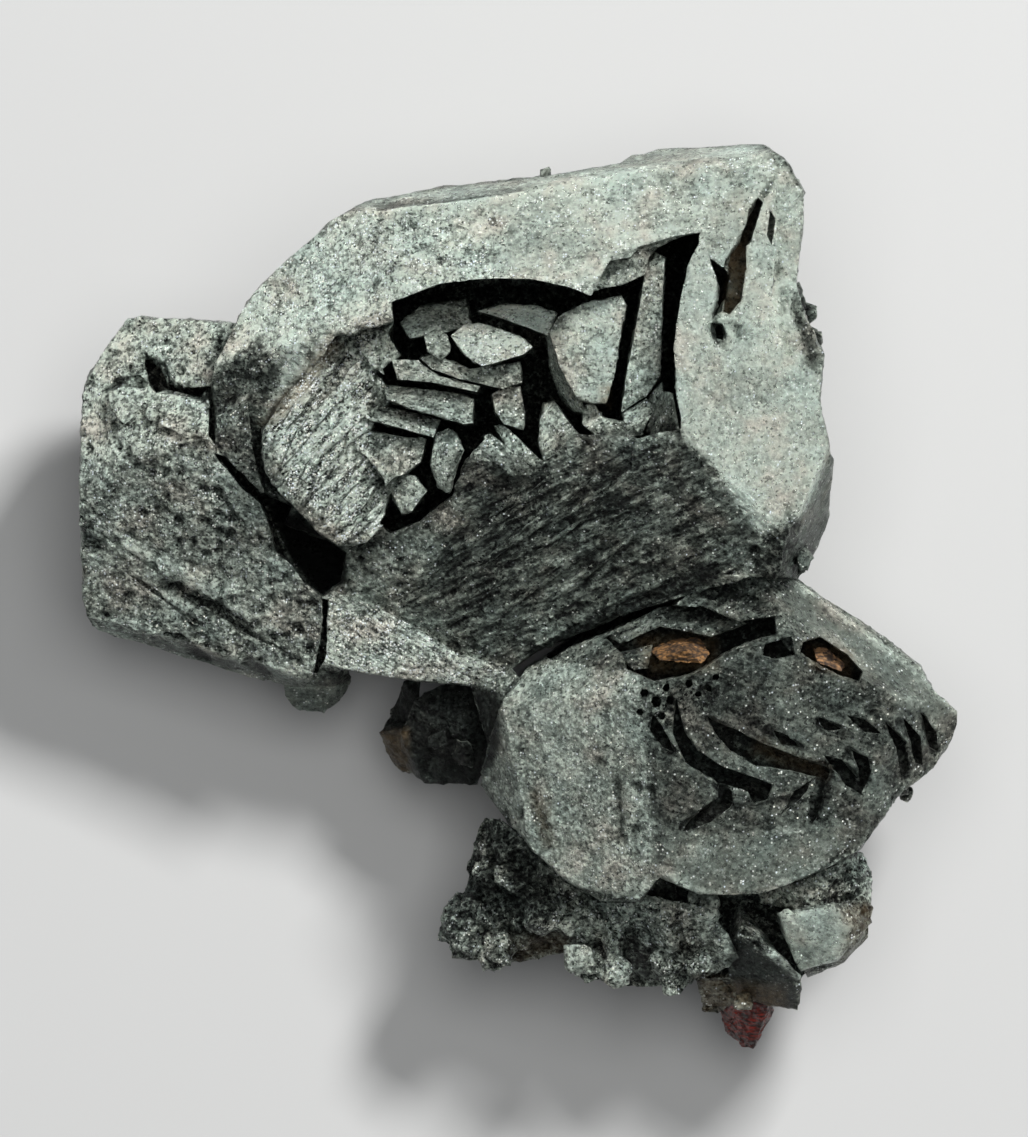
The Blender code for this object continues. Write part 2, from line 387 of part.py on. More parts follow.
LUMP_PATCHES = [
    ((50.4, 86.4, 21.6), (2.4, 3.4, 1.4), 10, (1.1, 1.9)),
    ((49.4, 92.8, 17.6), (3.6, 2.6, 1.4), 16, (1.2, 2.2)),
    ((57.0, 91.0, 21.0), (3.2, 3.2, 1.6), 12, (1.1, 2.1)),
    ((62.4, 94.6, 21.0), (4.0, 2.6, 2.4), 12, (1.2, 2.2)),
    ((68.4, 95.0, 22.6), (3.6, 2.6, 1.6), 10, (1.3, 2.2)),
    ((72.0, 90.6, 25.4), (2.6, 1.2, 1.0), 5, (0.8, 1.3)),
    ((84.6, 87.6, 24.0), (2.0, 1.8, 1.4), 8, (1.0, 1.5)),
    ((75.0, 99.2, 18.4), (2.6, 1.4, 1.6), 6, (0.7, 1.2)),
    ((89.9, 79.2, 23.0), (1.2, 0.7, 1.6), 4, (0.6, 0.9)),
    ((80.6, 32.6, 33.0), (1.1, 3.4, 2.6), 8, (0.8, 1.4)),
    ((46.4, 72.4, 18.0), (4.2, 3.4, 1.6), 8, (0.8, 1.5)),
    ((54.8, 17.8, 34.0), (1.0, 0.3, 1.0), 2, (0.6, 0.8)),
    ((78.6, 56.6, 33.0), (1.8, 1.0, 2.0), 5, (0.7, 1.2)),
    ((17.6, 41.8, 32.0), (2.2, 1.2, 0.5), 4, (0.7, 1.1)),
]

# Matrix remnants in the two hollows, and the red tip at the bottom end
LARGE_REMNANT = [
    (65.0, 65.0, 30.4), (67.6, 63.9, 30.6), (70.0, 63.8, 30.6), (71.0, 65.4, 32.6), (70.2, 66.4, 33.6),
    (66.0, 66.0, 33.4), (66.0, 65.4, 26.5), (70.0, 65.4, 26.5), (68.6, 65.0, 34.4),
]
SMALL_REMNANT = [
    (81.5, 64.9, 31.6), (82.6, 64.7, 31.6), (84.6, 66.4, 31.6), (84.2, 67.2, 32.6), (81.8, 66.2, 33.0),
    (82.2, 65.4, 25.5), (83.8, 66.4, 25.5),
]
RED_TIP = [
    (73.4, 100.0, 17.0), (77.2, 100.4, 17.6), (77.6, 101.4, 15.0), (76.2, 102.8, 14.6), (75.6, 105.4, 12.6),
    (74.4, 105.2, 12.2), (72.8, 103.6, 12.0), (72.2, 101.6, 13.0), (73.6, 100.6, 9.6), (76.6, 101.0, 9.8),
]

# Finish of each piece: colour, roughness and metallic value
HEMATITE_FINISH = ((0.29, 0.31, 0.30), 0.38, 0.75)
OCHRE_FINISH = ((0.42, 0.22, 0.07), 0.85, 0.0)
BROWN_OCHRE_FINISH = ((0.36, 0.20, 0.09), 0.85, 0.0)
RED_MATRIX_FINISH = ((0.20, 0.03, 0.02), 0.35, 0.0)

# Mesh settings: each floor, punch top and rib floor is staggered a little from the one before
STAGGER = 0.13
CUT_DISTANCE = 1.0e-7
CLEAN_DISTANCE = 1.0e-6
FLAT_ANGLE = 0.001
RIB_SKEW = 0.3
LUMP_SUBDIVISIONS = 1
LUMP_ROUGHNESS = 0.28
LUMP_STRETCH = (0.75, 1.3)
PORE_SIDES = 6


def at(x, y, height):
    """The place in metres of a point of the plan."""
    return Vector(((x - PLAN_CENTRE[0]) * UNIT, (PLAN_CENTRE[1] - y) * UNIT, height * RISE))


def face_of(corners):
    """A point and the upward normal of the flat face through three corners."""
    first, second, third = (at(*corner) for corner in corners)
    normal = (second - first).cross(third - first).normalized()
    return first, normal if normal.z > 0 else -normal


def height_on(corners, x, y):
    """The height in plan units of the flat face through three corners, over (x, y)."""
    point, normal = face_of(corners)
    place = at(x, y, 0.0)
    rise = normal.x * (place.x - point.x) + normal.y * (place.y - point.y)
    return (point.z - rise / normal.z) / RISE


def add_object(name, mesh_data):
    """An object in the scene from a finished bmesh."""
    bmesh.ops.recalc_face_normals(mesh_data, faces=mesh_data.faces)
    mesh = bpy.data.meshes.new(name)
    mesh_data.to_mesh(mesh)
    mesh_data.free()
    added = bpy.data.objects.new(name, mesh)
    bpy.context.scene.collection.objects.link(added)
    return added


def loft(name, lower, upper):
    """A closed solid between two outlines with the same number of corners (x, y, height)."""
    mesh_data = bmesh.new()
    rings = [[mesh_data.verts.new(at(*corner)) for corner in ring] for ring in (lower, upper)]
    count = len(lower)
    for index in range(count):
        following = (index + 1) % count
        mesh_data.faces.new((rings[0][index], rings[0][following], rings[1][following], rings[1][index]))
    mesh_data.faces.new(rings[0])
    mesh_data.faces.new(rings[1])
    bmesh.ops.triangulate(mesh_data, faces=mesh_data.faces)
    return add_object(name, mesh_data)


def shrunk(outline, share):
    """An outline drawn in towards the middle of its corners."""
    middle_x = sum(x for x, _ in outline) / len(outline)
    middle_y = sum(y for _, y in outline) / len(outline)
    return [(middle_x + (x - middle_x) * share, middle_y + (y - middle_y) * share) for x, y in outline]


def slab(name, corners, floor):
    """A plate whose top passes through its corners and whose sides go straight down to a floor."""
    return loft(name, [(x, y, floor) for x, y, _ in corners], corners)


def cutter(name, outline, floor, top=SKY):
    """A punch with the given outline, from a floor up past the top of the specimen."""
    return loft(name, [(x, y, floor) for x, y in outline], [(x, y, top) for x, y in outline])


def hull(name, places):
    """The convex solid around places in metres."""
    mesh_data = bmesh.new()
    for place in places:
        mesh_data.verts.new(place)
    wrapped = bmesh.ops.convex_hull(mesh_data, input=mesh_data.verts)
    inner = [item for item in wrapped["geom_interior"] if isinstance(item, bmesh.types.BMVert)]
    bmesh.ops.delete(mesh_data, geom=inner, context="VERTS")
    return add_object(name, mesh_data)


def block(name, corners):
    """The convex solid around corners of the plan."""
    return hull(name, [at(*corner) for corner in corners])


def crystal(name, outline, front, back):
    """A crystal: its outline raised to a prism, then cut by its flat front and back faces."""
    mesh_data = bmesh.new()
    ring = [mesh_data.verts.new(at(x, y, TABLE)) for x, y in outline]
    base = mesh_data.faces.new(ring)
    raised = bmesh.ops.extrude_face_region(mesh_data, geom=[base])
    tops = [item for item in raised["geom"] if isinstance(item, bmesh.types.BMVert)]
    bmesh.ops.translate(mesh_data, verts=tops, vec=(0.0, 0.0, SKY * RISE))
    for corners, above in [(face, True) for face in front] + [(face, False) for face in back]:
        point, normal = face_of(corners)
        everything = mesh_data.verts[:] + mesh_data.edges[:] + mesh_data.faces[:]
        bmesh.ops.bisect_plane(
            mesh_data, geom=everything, dist=CUT_DISTANCE, plane_co=point, plane_no=normal,
            clear_outer=above, clear_inner=not above,
        )
        rim = [edge for edge in mesh_data.edges if edge.is_boundary]
        bmesh.ops.holes_fill(mesh_data, edges=rim, sides=0)
    bmesh.ops.dissolve_limit(
        mesh_data, angle_limit=FLAT_ANGLE, verts=mesh_data.verts, edges=mesh_data.edges,
    )
    bmesh.ops.triangulate(mesh_data, faces=mesh_data.faces)
    return add_object(name, mesh_data)


def rib(name, ends, half_width, surface, low, high):
    """A long narrow rib or groove cutter along a flat face, from low to high above that face."""
    start, end = (Vector(place) for place in ends)
    side = (end - start).orthogonal().normalized() * half_width
    outline = [start, start.lerp(end, RIB_SKEW) - side, end, end.lerp(start, RIB_SKEW) + side]
    lower = [(x, y, height_on(surface, x, y) + low) for x, y in outline]
    upper = [(x, y, height_on(surface, x, y) + high) for x, y in outline]
    return loft(name, lower, upper)


def lump(name, place, size, chance):
    """A rough convex lump with flat facets."""
    ball = bmesh.new()
    bmesh.ops.create_icosphere(ball, subdivisions=LUMP_SUBDIVISIONS, radius=size * UNIT)
    stretch = Vector([chance.uniform(*LUMP_STRETCH) for _ in range(3)])
    corners = []
    for vert in ball.verts:
        corners.append(vert.co * stretch * (1.0 + chance.uniform(-LUMP_ROUGHNESS, LUMP_ROUGHNESS)))
    ball.free()
    turn = Quaternion(Vector(chance.uniform(-1.0, 1.0) for _ in range(3)), chance.uniform(0.0, math.pi))
    return hull(name, [at(*place) + turn @ corner for corner in corners])


def lump_patches():
    """The rough lumps of every patch."""
    chance = random.Random(LUMP_SEED)
    lumps = []
    for centre, reach, count, sizes in LUMP_PATCHES:
        for _ in range(count):
            place = [middle + chance.uniform(-half, half) for middle, half in zip(centre, reach)]
            lumps.append(lump("lump", place, chance.uniform(*sizes), chance))
    return lumps


def cutter_on(name, outline, surface, depth):
    """A punch whose floor lies at a depth below a flat face."""
    lower = [(x, y, height_on(surface, x, y) - depth) for x, y in outline]
    return loft(name, lower, [(x, y, SKY + STAGGER * depth) for x, y in outline])


def combine(target, operation, operands):
    """The target joined with, or cut by, all the operands, which are used up."""
    group = bpy.data.collections.new("operands")
    for operand in operands:
        group.objects.link(operand)
    modifier = target.modifiers.new(operation.lower(), "BOOLEAN")
    modifier.operation = operation
    modifier.solver = "EXACT"
    modifier.operand_type = "COLLECTION"
    modifier.collection = group
    bpy.context.view_layer.update()
    evaluated = target.evaluated_get(bpy.context.evaluated_depsgraph_get())
    result = bpy.data.meshes.new_from_object(evaluated)
    target.modifiers.clear()
    target.data = result
    for operand in operands:
        bpy.data.objects.remove(operand)
    bpy.data.collections.remove(group)
    return target


def grown(target, operands):
    """The target with all the operands joined to it."""
    return combine(target, "UNION", operands)


def carved(target, cutters):
    """The target with all the cutters taken out of it."""
    return combine(target, "DIFFERENCE", cutters)


def cutters_of(name, outlines):
    """One cutter for each outline and floor."""
    return [
        cutter(name, outline, floor, SKY + STAGGER * index)
        for index, (outline, floor) in enumerate(outlines)
    ]


def slabs_of(name, plates, floor):
    """One slab for each plate."""
    return [slab(name, corners, floor - STAGGER * index) for index, corners in enumerate(plates)]


def big_crystal():
    """The hopper crystal with its stepped hollow and the plates in it."""
    body = crystal("big_crystal", BIG_OUTLINE, BIG_FRONT, BIG_BACK)
    body = carved(body, cutters_of("slot", BEAM_SLOTS) + [
        cutter("layer_step", LAYER_STEP, LAYER_STEP_FLOOR),
        cutter_on("right_terrace", RIGHT_TERRACE, BIG_FRONT[1], RIGHT_TERRACE_DEPTH),
    ])
    body = grown(body, [slab("second_layer", SECOND_LAYER, SECOND_LAYER_FLOOR)])
    hollow = loft(
        "hollow",
        [(x, y, HOLLOW_FLOOR_HEIGHT) for x, y in HOLLOW_FLOOR],
        [(x, y, SKY) for x, y in HOLLOW_MOUTH],
    )
    wall = [(x, y, height_on(WALL_FACE, x, y) + WALL_SPARE) for x, y in shrunk(WALL_OUTLINE, WALL_SHRINK)]
    body = grown(body, [slab("wall", wall, WALL_FLOOR)])
    body = carved(body, [hollow])
    body = carved(body, [cutter_on("wall_top", WALL_OUTLINE, WALL_FACE, 0.0)])
    relief = slabs_of("plate", PLATES, PLATE_FLOOR)
    relief.append(slab("foot", FOOT_LEDGE, FOOT_FLOOR))
    for start, end, half in LATHS:
        relief.append(rib("lath", (start, end), half, BIG_FRONT[2], -LATH_RISE, half))
    for start, end, half, rise in WALL_STEPS:
        relief.append(rib("step", (start, end), half, WALL_FACE, -WALL_STEP_DEPTH - rise, rise))
    return grown(body, relief)


def left_crystal():
    """The left crystal with its pit, raised plates and pressed grooves."""
    body = crystal("left_crystal", LEFT_OUTLINE, LEFT_FRONT, LEFT_BACK)
    body = grown(body, slabs_of("left_plate", LEFT_PLATES, LEFT_PLATE_FLOOR))
    cutters = cutters_of("left_pit", LEFT_PITS)
    for start, end, half in LEFT_GROOVES:
        cutters.append(rib("left_groove", (start, end), half, LEFT_FRONT[1], -LEFT_GROOVE_DEPTH, SKY))
    return carved(body, cutters)


def lower_right_crystal():
    """The lower-right crystal with its hollows, ledges, pores and curved grooves."""
    body = crystal("lower_right_crystal", RIGHT_OUTLINE, RIGHT_FRONT, RIGHT_BACK)
    body = carved(body, cutters_of("hollow", RIGHT_HOLLOWS))
    body = grown(body, slabs_of("ledge", HOLLOW_LEDGES, HOLLOW_LEDGE_FLOOR))
    pores = []
    for x, y, radius in PORES:
        turns = [2.0 * math.pi * side / PORE_SIDES for side in range(PORE_SIDES)]
        outline = [(x + radius * math.cos(turn), y + radius * math.sin(turn)) for turn in turns]
        pores.append(cutter("pore", outline, PORE_FLOOR))
    grooves = [cutter_on("groove", outline, RIGHT_FRONT[1], depth) for outline, depth in RIGHT_GROOVES]
    return carved(body, grooves + pores)


def grown_by(source, margin):
    """A copy of a convex piece, each side moved out by the margin: the pocket that it sits in."""
    pocket = source.copy()
    pocket.data = source.data.copy()
    bpy.context.scene.collection.objects.link(pocket)
    corners = [vert.co for vert in pocket.data.vertices]
    middle = sum(corners, Vector()) / len(corners)
    for axis in range(3):
        along = [corner[axis] for corner in corners]
        spread = 1.0 + 2.0 * margin / (max(along) - min(along))
        for vert in pocket.data.vertices:
            vert.co[axis] = middle[axis] + (vert.co[axis] - middle[axis]) * spread
    return pocket


def clean(target):
    """The target's mesh as sound triangles."""
    mesh_data = bmesh.new()
    mesh_data.from_mesh(target.data)
    bmesh.ops.remove_doubles(mesh_data, verts=mesh_data.verts, dist=CLEAN_DISTANCE)
    bmesh.ops.dissolve_degenerate(mesh_data, edges=mesh_data.edges, dist=CLEAN_DISTANCE)
    bmesh.ops.triangulate(mesh_data, faces=mesh_data.faces)
    bmesh.ops.recalc_face_normals(mesh_data, faces=mesh_data.faces)
    mesh_data.to_mesh(target.data)
    mesh_data.free()


def dress(target, name, colour, roughness, metallic):
    """The target's name and its own material."""
    target.name = name
    target.data.name = name
    material = bpy.data.materials.new(name)
    material.use_nodes = True
    shader = material.node_tree.nodes["Principled BSDF"]
    shader.inputs["Base Color"].default_value = (*colour, 1.0)
    shader.inputs["Roughness"].default_value = roughness
    shader.inputs["Metallic"].default_value = metallic
    target.data.materials.clear()
    target.data.materials.append(material)


def main():
    """Build the specimen."""
    for existing in list(bpy.data.objects):
        bpy.data.objects.remove(existing)

    large_remnant = block("large_remnant", LARGE_REMNANT)
    small_remnant = block("small_remnant", SMALL_REMNANT)
    red_tip = block("red_tip", RED_TIP)

    hematite = big_crystal()
    others = [left_crystal(), lower_right_crystal()]
    others += [block("small_crystal", corners) for corners in SMALL_CRYSTALS + CLUSTER_BLOCKS + CORE_BLOCKS]
    hematite = grown(hematite, others + lump_patches())
    pockets = [grown_by(piece, GAP) for piece in (large_remnant, small_remnant, red_tip)]
    hematite = carved(hematite, cutters_of("joint", JOINTS) + pockets)
    clean(hematite)

    dress(hematite, "hematite_crystals", *HEMATITE_FINISH)
    dress(large_remnant, "ochre_remnant_large", *OCHRE_FINISH)
    dress(small_remnant, "ochre_remnant_small", *BROWN_OCHRE_FINISH)
    dress(red_tip, "red_matrix_tip", *RED_MATRIX_FINISH)


main()
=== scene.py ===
"""Hematite specimen: the dressed crystals, their finishes, the table, the light and the camera.

Outlines are drawn on the plan of the specimen seen from above: x to the right, y towards its bottom end.
"""

import itertools
import logging
import math
from dataclasses import dataclass
from enum import Enum, IntEnum

import bmesh
import bpy
import numpy as np
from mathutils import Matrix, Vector


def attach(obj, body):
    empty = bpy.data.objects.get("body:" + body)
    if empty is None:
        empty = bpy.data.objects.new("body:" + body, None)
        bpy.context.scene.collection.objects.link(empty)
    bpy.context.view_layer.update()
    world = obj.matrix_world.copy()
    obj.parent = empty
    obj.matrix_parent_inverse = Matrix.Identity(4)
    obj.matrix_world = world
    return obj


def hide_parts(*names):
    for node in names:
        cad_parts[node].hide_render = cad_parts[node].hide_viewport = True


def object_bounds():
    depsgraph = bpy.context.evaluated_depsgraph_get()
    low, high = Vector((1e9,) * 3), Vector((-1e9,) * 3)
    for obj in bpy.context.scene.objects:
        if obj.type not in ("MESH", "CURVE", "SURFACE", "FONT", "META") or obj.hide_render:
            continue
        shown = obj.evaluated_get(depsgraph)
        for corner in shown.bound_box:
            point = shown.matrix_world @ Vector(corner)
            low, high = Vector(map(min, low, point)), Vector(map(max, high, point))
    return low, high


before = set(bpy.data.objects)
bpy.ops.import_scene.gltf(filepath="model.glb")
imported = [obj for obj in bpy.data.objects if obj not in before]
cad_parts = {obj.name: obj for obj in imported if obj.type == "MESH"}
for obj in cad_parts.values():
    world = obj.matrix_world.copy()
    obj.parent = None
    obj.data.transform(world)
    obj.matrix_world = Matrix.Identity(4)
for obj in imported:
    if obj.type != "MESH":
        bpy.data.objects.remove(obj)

CAD_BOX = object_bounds()
HEMATITE_NODE = "hematite_crystals"
BODY = "root"
MM = 0.001

# The plan's scale and the point of it that lies over the origin
UNIT = 0.0731 / 91.4
PLAN_CENTRE = (51.8, 60.0)

Point = tuple[float, float]
Outline = list[Point]
Colour = tuple[float, float, float]
Place = tuple[float, float, float]
Source = bpy.types.NodeSocket | bpy.types.Node | float | tuple
log = logging.getLogger("specimen")


@dataclass(frozen=True)
class Span:
    """A range of values and the range that it is mapped to, held at both ends."""

    low: float
    high: float
    to_low: float = 0.0
    to_high: float = 1.0

    def of(self, values: np.ndarray) -> np.ndarray:
        """The mapped values."""
        share = np.clip((values - self.low) / (self.high - self.low), 0.0, 1.0)
        return self.to_low + share * (self.to_high - self.to_low)


# Noise fields

AXIS_FACTORS = (73856093, 19349663, 83492791)
SEED_FACTOR, SEED_START = 40503, 977
MIXERS = ((15, 2246822519), (13, 3266489917))
LOW_32_BITS, LOW_24_BITS = 0xFFFFFFFF, 0xFFFFFF
LAYER_SEED_STEP, LAYERED_PEAK = 31, 1.6
TINY = 1.0e-9

# Height of the squares of a height map that no surface covers, and how full its surroundings have to be for a
# place to count as enclosed
NO_SURFACE = -1.0
ENCLOSED = Span(0.5, 0.9)


def hashed(cells: np.ndarray, seed: int) -> np.ndarray:
    """A random number from 0 to 1 for each lattice cell.

    Args:
        cells: whole-number lattice cells, one row each.
        seed: picks another field.

    Returns:
        One number for each row.
    """
    mixed = cells[:, 0] * AXIS_FACTORS[0] ^ cells[:, 1] * AXIS_FACTORS[1] ^ cells[:, 2] * AXIS_FACTORS[2]
    mixed = (mixed ^ (seed * SEED_FACTOR + SEED_START)) & LOW_32_BITS
    for shift, factor in MIXERS:
        mixed = ((mixed ^ (mixed >> shift)) * factor) & LOW_32_BITS
    mixed = mixed ^ (mixed >> 16)
    return (mixed & LOW_24_BITS) / LOW_24_BITS


def smooth_noise(points: np.ndarray, seed: int) -> np.ndarray:
    """Soft noise from -1 to 1 with features one unit wide.

    Args:
        points: places, in units of the feature size.
        seed: picks another field.

    Returns:
        One value for each point.
    """
    base = np.floor(points).astype(np.int64)
    part = points - base
    part = part * part * (3.0 - 2.0 * part)
    total = np.zeros(len(points))
    for corner in itertools.product((0, 1), repeat=3):
        share = np.prod(np.where(np.array(corner) == 1, part, 1.0 - part), axis=1)
        total += share * hashed(base + np.array(corner), seed)
    return total * 2.0 - 1.0


def layered_noise(points: np.ndarray, seed: int, layers: int = 3) -> np.ndarray:
    """Soft noise with finer layers on it, each half as strong as the one before.

    Args:
        points: places, in units of the widest feature.
        seed: picks another field.
        layers: how many layers.

    Returns:
        One value for each point, about -1 to 1.
    """
    total = np.zeros(len(points))
    for layer in range(layers):
        finer = 2.0**layer
        total += smooth_noise(points * finer, seed + LAYER_SEED_STEP * layer) / finer
    return total / LAYERED_PEAK


def facets(points: np.ndarray, seed: int) -> tuple[np.ndarray, np.ndarray, np.ndarray]:
    """A field of small tilted flats, one for each crystal grain.

    Args:
        points: places, in units of the grain size.
        seed: picks another field.

    Returns:
        The height of each point on its grain's tilted flat, a random number for each grain, and the distance
        of each point from the middle of its grain.
    """
    base = np.floor(points).astype(np.int64)
    nearest = np.full(len(points), np.inf)
    height = np.zeros(len(points))
    grain = np.zeros(len(points))
    for offset in itertools.product((-1, 0, 1), repeat=3):
        cell = base + np.array(offset)
        draws = [hashed(cell, seed + step) for step in range(3)]
        away = points - cell - np.stack(draws, axis=1)
        distance = (away * away).sum(axis=1)
        closer = distance < nearest
        nearest[closer] = distance[closer]
        tilt = np.stack([draws[1] - 0.5, draws[2] - 0.5, draws[0] - 0.5], axis=1)
        height[closer] = (away * tilt).sum(axis=1)[closer]
        grain[closer] = draws[0][closer]
    return height, grain, np.sqrt(nearest)


def sunk_depth(places: np.ndarray, cell: float, reach: int) -> np.ndarray:
    """How far each place lies below the tops of the surface round it.

    Args:
        places: places in mm.
        cell: size of one square of the height map in mm.
        reach: how many squares each way are averaged.

    Returns:
        The depth of each place in mm, below zero where it stands above its surroundings, and less than it
        is where the surface ends nearby.
    """
    columns = np.floor((places[:, :2] - places[:, :2].min(axis=0)) / cell).astype(np.int64) + reach
    here = (columns[:, 0], columns[:, 1])
    tops = np.full(columns.max(axis=0) + 1 + reach, NO_SURFACE)
    np.maximum.at(tops, here, places[:, 2])
    known = (tops >= 0.0).astype(float)
    total = tops * known
    kernel = np.ones(2 * reach + 1)
    for axis in (0, 1):
        for _ in range(2):
            total = np.apply_along_axis(np.convolve, axis, total, kernel, "same")
            known = np.apply_along_axis(np.convolve, axis, known, kernel, "same")
    depth = (total / np.maximum(known, TINY))[here] - places[:, 2]
    return np.where(depth > 0.0, depth * ENCLOSED.of(known / kernel.size**4)[here], depth)


# Places on the plan


def plan_of(places: np.ndarray) -> np.ndarray:
    """Plan x and y of places in metres."""
    return np.stack([places[:, 0] / UNIT + PLAN_CENTRE[0], PLAN_CENTRE[1] - places[:, 1] / UNIT], axis=1)


def segment_distance(plan: np.ndarray, start: Point, end: Point) -> np.ndarray:
    """Distance on the plan from each place to a straight line between two points.

    Args:
        plan: places on the plan.
        start: one end of the line.
        end: its other end.

    Returns:
        One distance for each place, in plan units.
    """
    first = np.array(start)
    along = np.array(end) - first
    share = np.clip(((plan - first) @ along) / max(along @ along, TINY), 0.0, 1.0)
    return np.linalg.norm(plan - first - share[:, None] * along, axis=1)


def line_distance(plan: np.ndarray, line: Outline) -> np.ndarray:
    """Distance on the plan from each place to the nearest part of a line of several points."""
    return np.minimum.reduce([segment_distance(plan, start, end) for start, end in zip(line, line[1:])])


def within(plan: np.ndarray, outline: Outline, softness: float) -> np.ndarray:
    """How far each place lies inside an outline: 0 outside, 1 inside, with a soft edge.

    Args:
        plan: places on the plan.
        outline: corners of the region.
        softness: width of the soft edge in plan units.

    Returns:
        One value for each place.
    """
    inside = np.zeros(len(plan), bool)
    for start, end in zip(outline, outline[1:] + outline[:1]):
        crosses = (start[1] > plan[:, 1]) != (end[1] > plan[:, 1])
        rise = (end[1] - start[1]) or TINY
        meets = start[0] + (plan[:, 1] - start[1]) / rise * (end[0] - start[0])
        inside ^= crosses & (plan[:, 0] < meets)
    nearest = line_distance(plan, outline + outline[:1])
    signed = np.where(inside, nearest, -nearest)
    return np.clip(signed / softness + 0.5, 0.0, 1.0)


# Zones and marks of the crystals


@dataclass(frozen=True)
class Zone:
    """A crystal face, seen from above, with its brightness, grain and growth lines; the brightness is partly
    its own tone and partly painted light and shade.

    Attributes:
        outline: its corners on the plan.
        tone: its brightness, from black at 0 to pale at 1, partly painted light and shade by how the face
            meets the light.
        grain: how high its grain stands, in mm.
        laths: how high its growth laths stand, in mm.
        heading: the way the laths run on the plan.
        lath_size: their length and width in mm.
        pits: the share of its surface with small pits.
        sparkle: how many painted glints it has.
        contrast: how far the fine noise changes its tone.
        streak: how strongly fine lines run along the laths.
        chunks: how high its coarse lumps stand, in mm.
        softness: width of its soft edge on the plan.
    """

    outline: Outline
    tone: float
    grain: float = 0.12
    laths: float = 0.0
    heading: Point = (1.0, 0.0)
    lath_size: Point = (3.0, 0.5)
    pits: float = 0.0
    sparkle: float = 0.25
    contrast: float = 0.10
    streak: float = 0.1
    chunks: float = 0.0
    softness: float = 0.8


@dataclass(frozen=True)
class Mark:
    """A groove (negative height) or ridge along a line on the plan, in plan units, height in mm; its tone
    paints shade into a groove and a highlight onto a ridge.
    """

    line: Outline
    width: float
    height: float
    tone: float = 0.0


@dataclass(frozen=True)
class Stain:
    """A coloured patch on the plan."""

    outline: Outline
    strength: float
    softness: float = 1.0
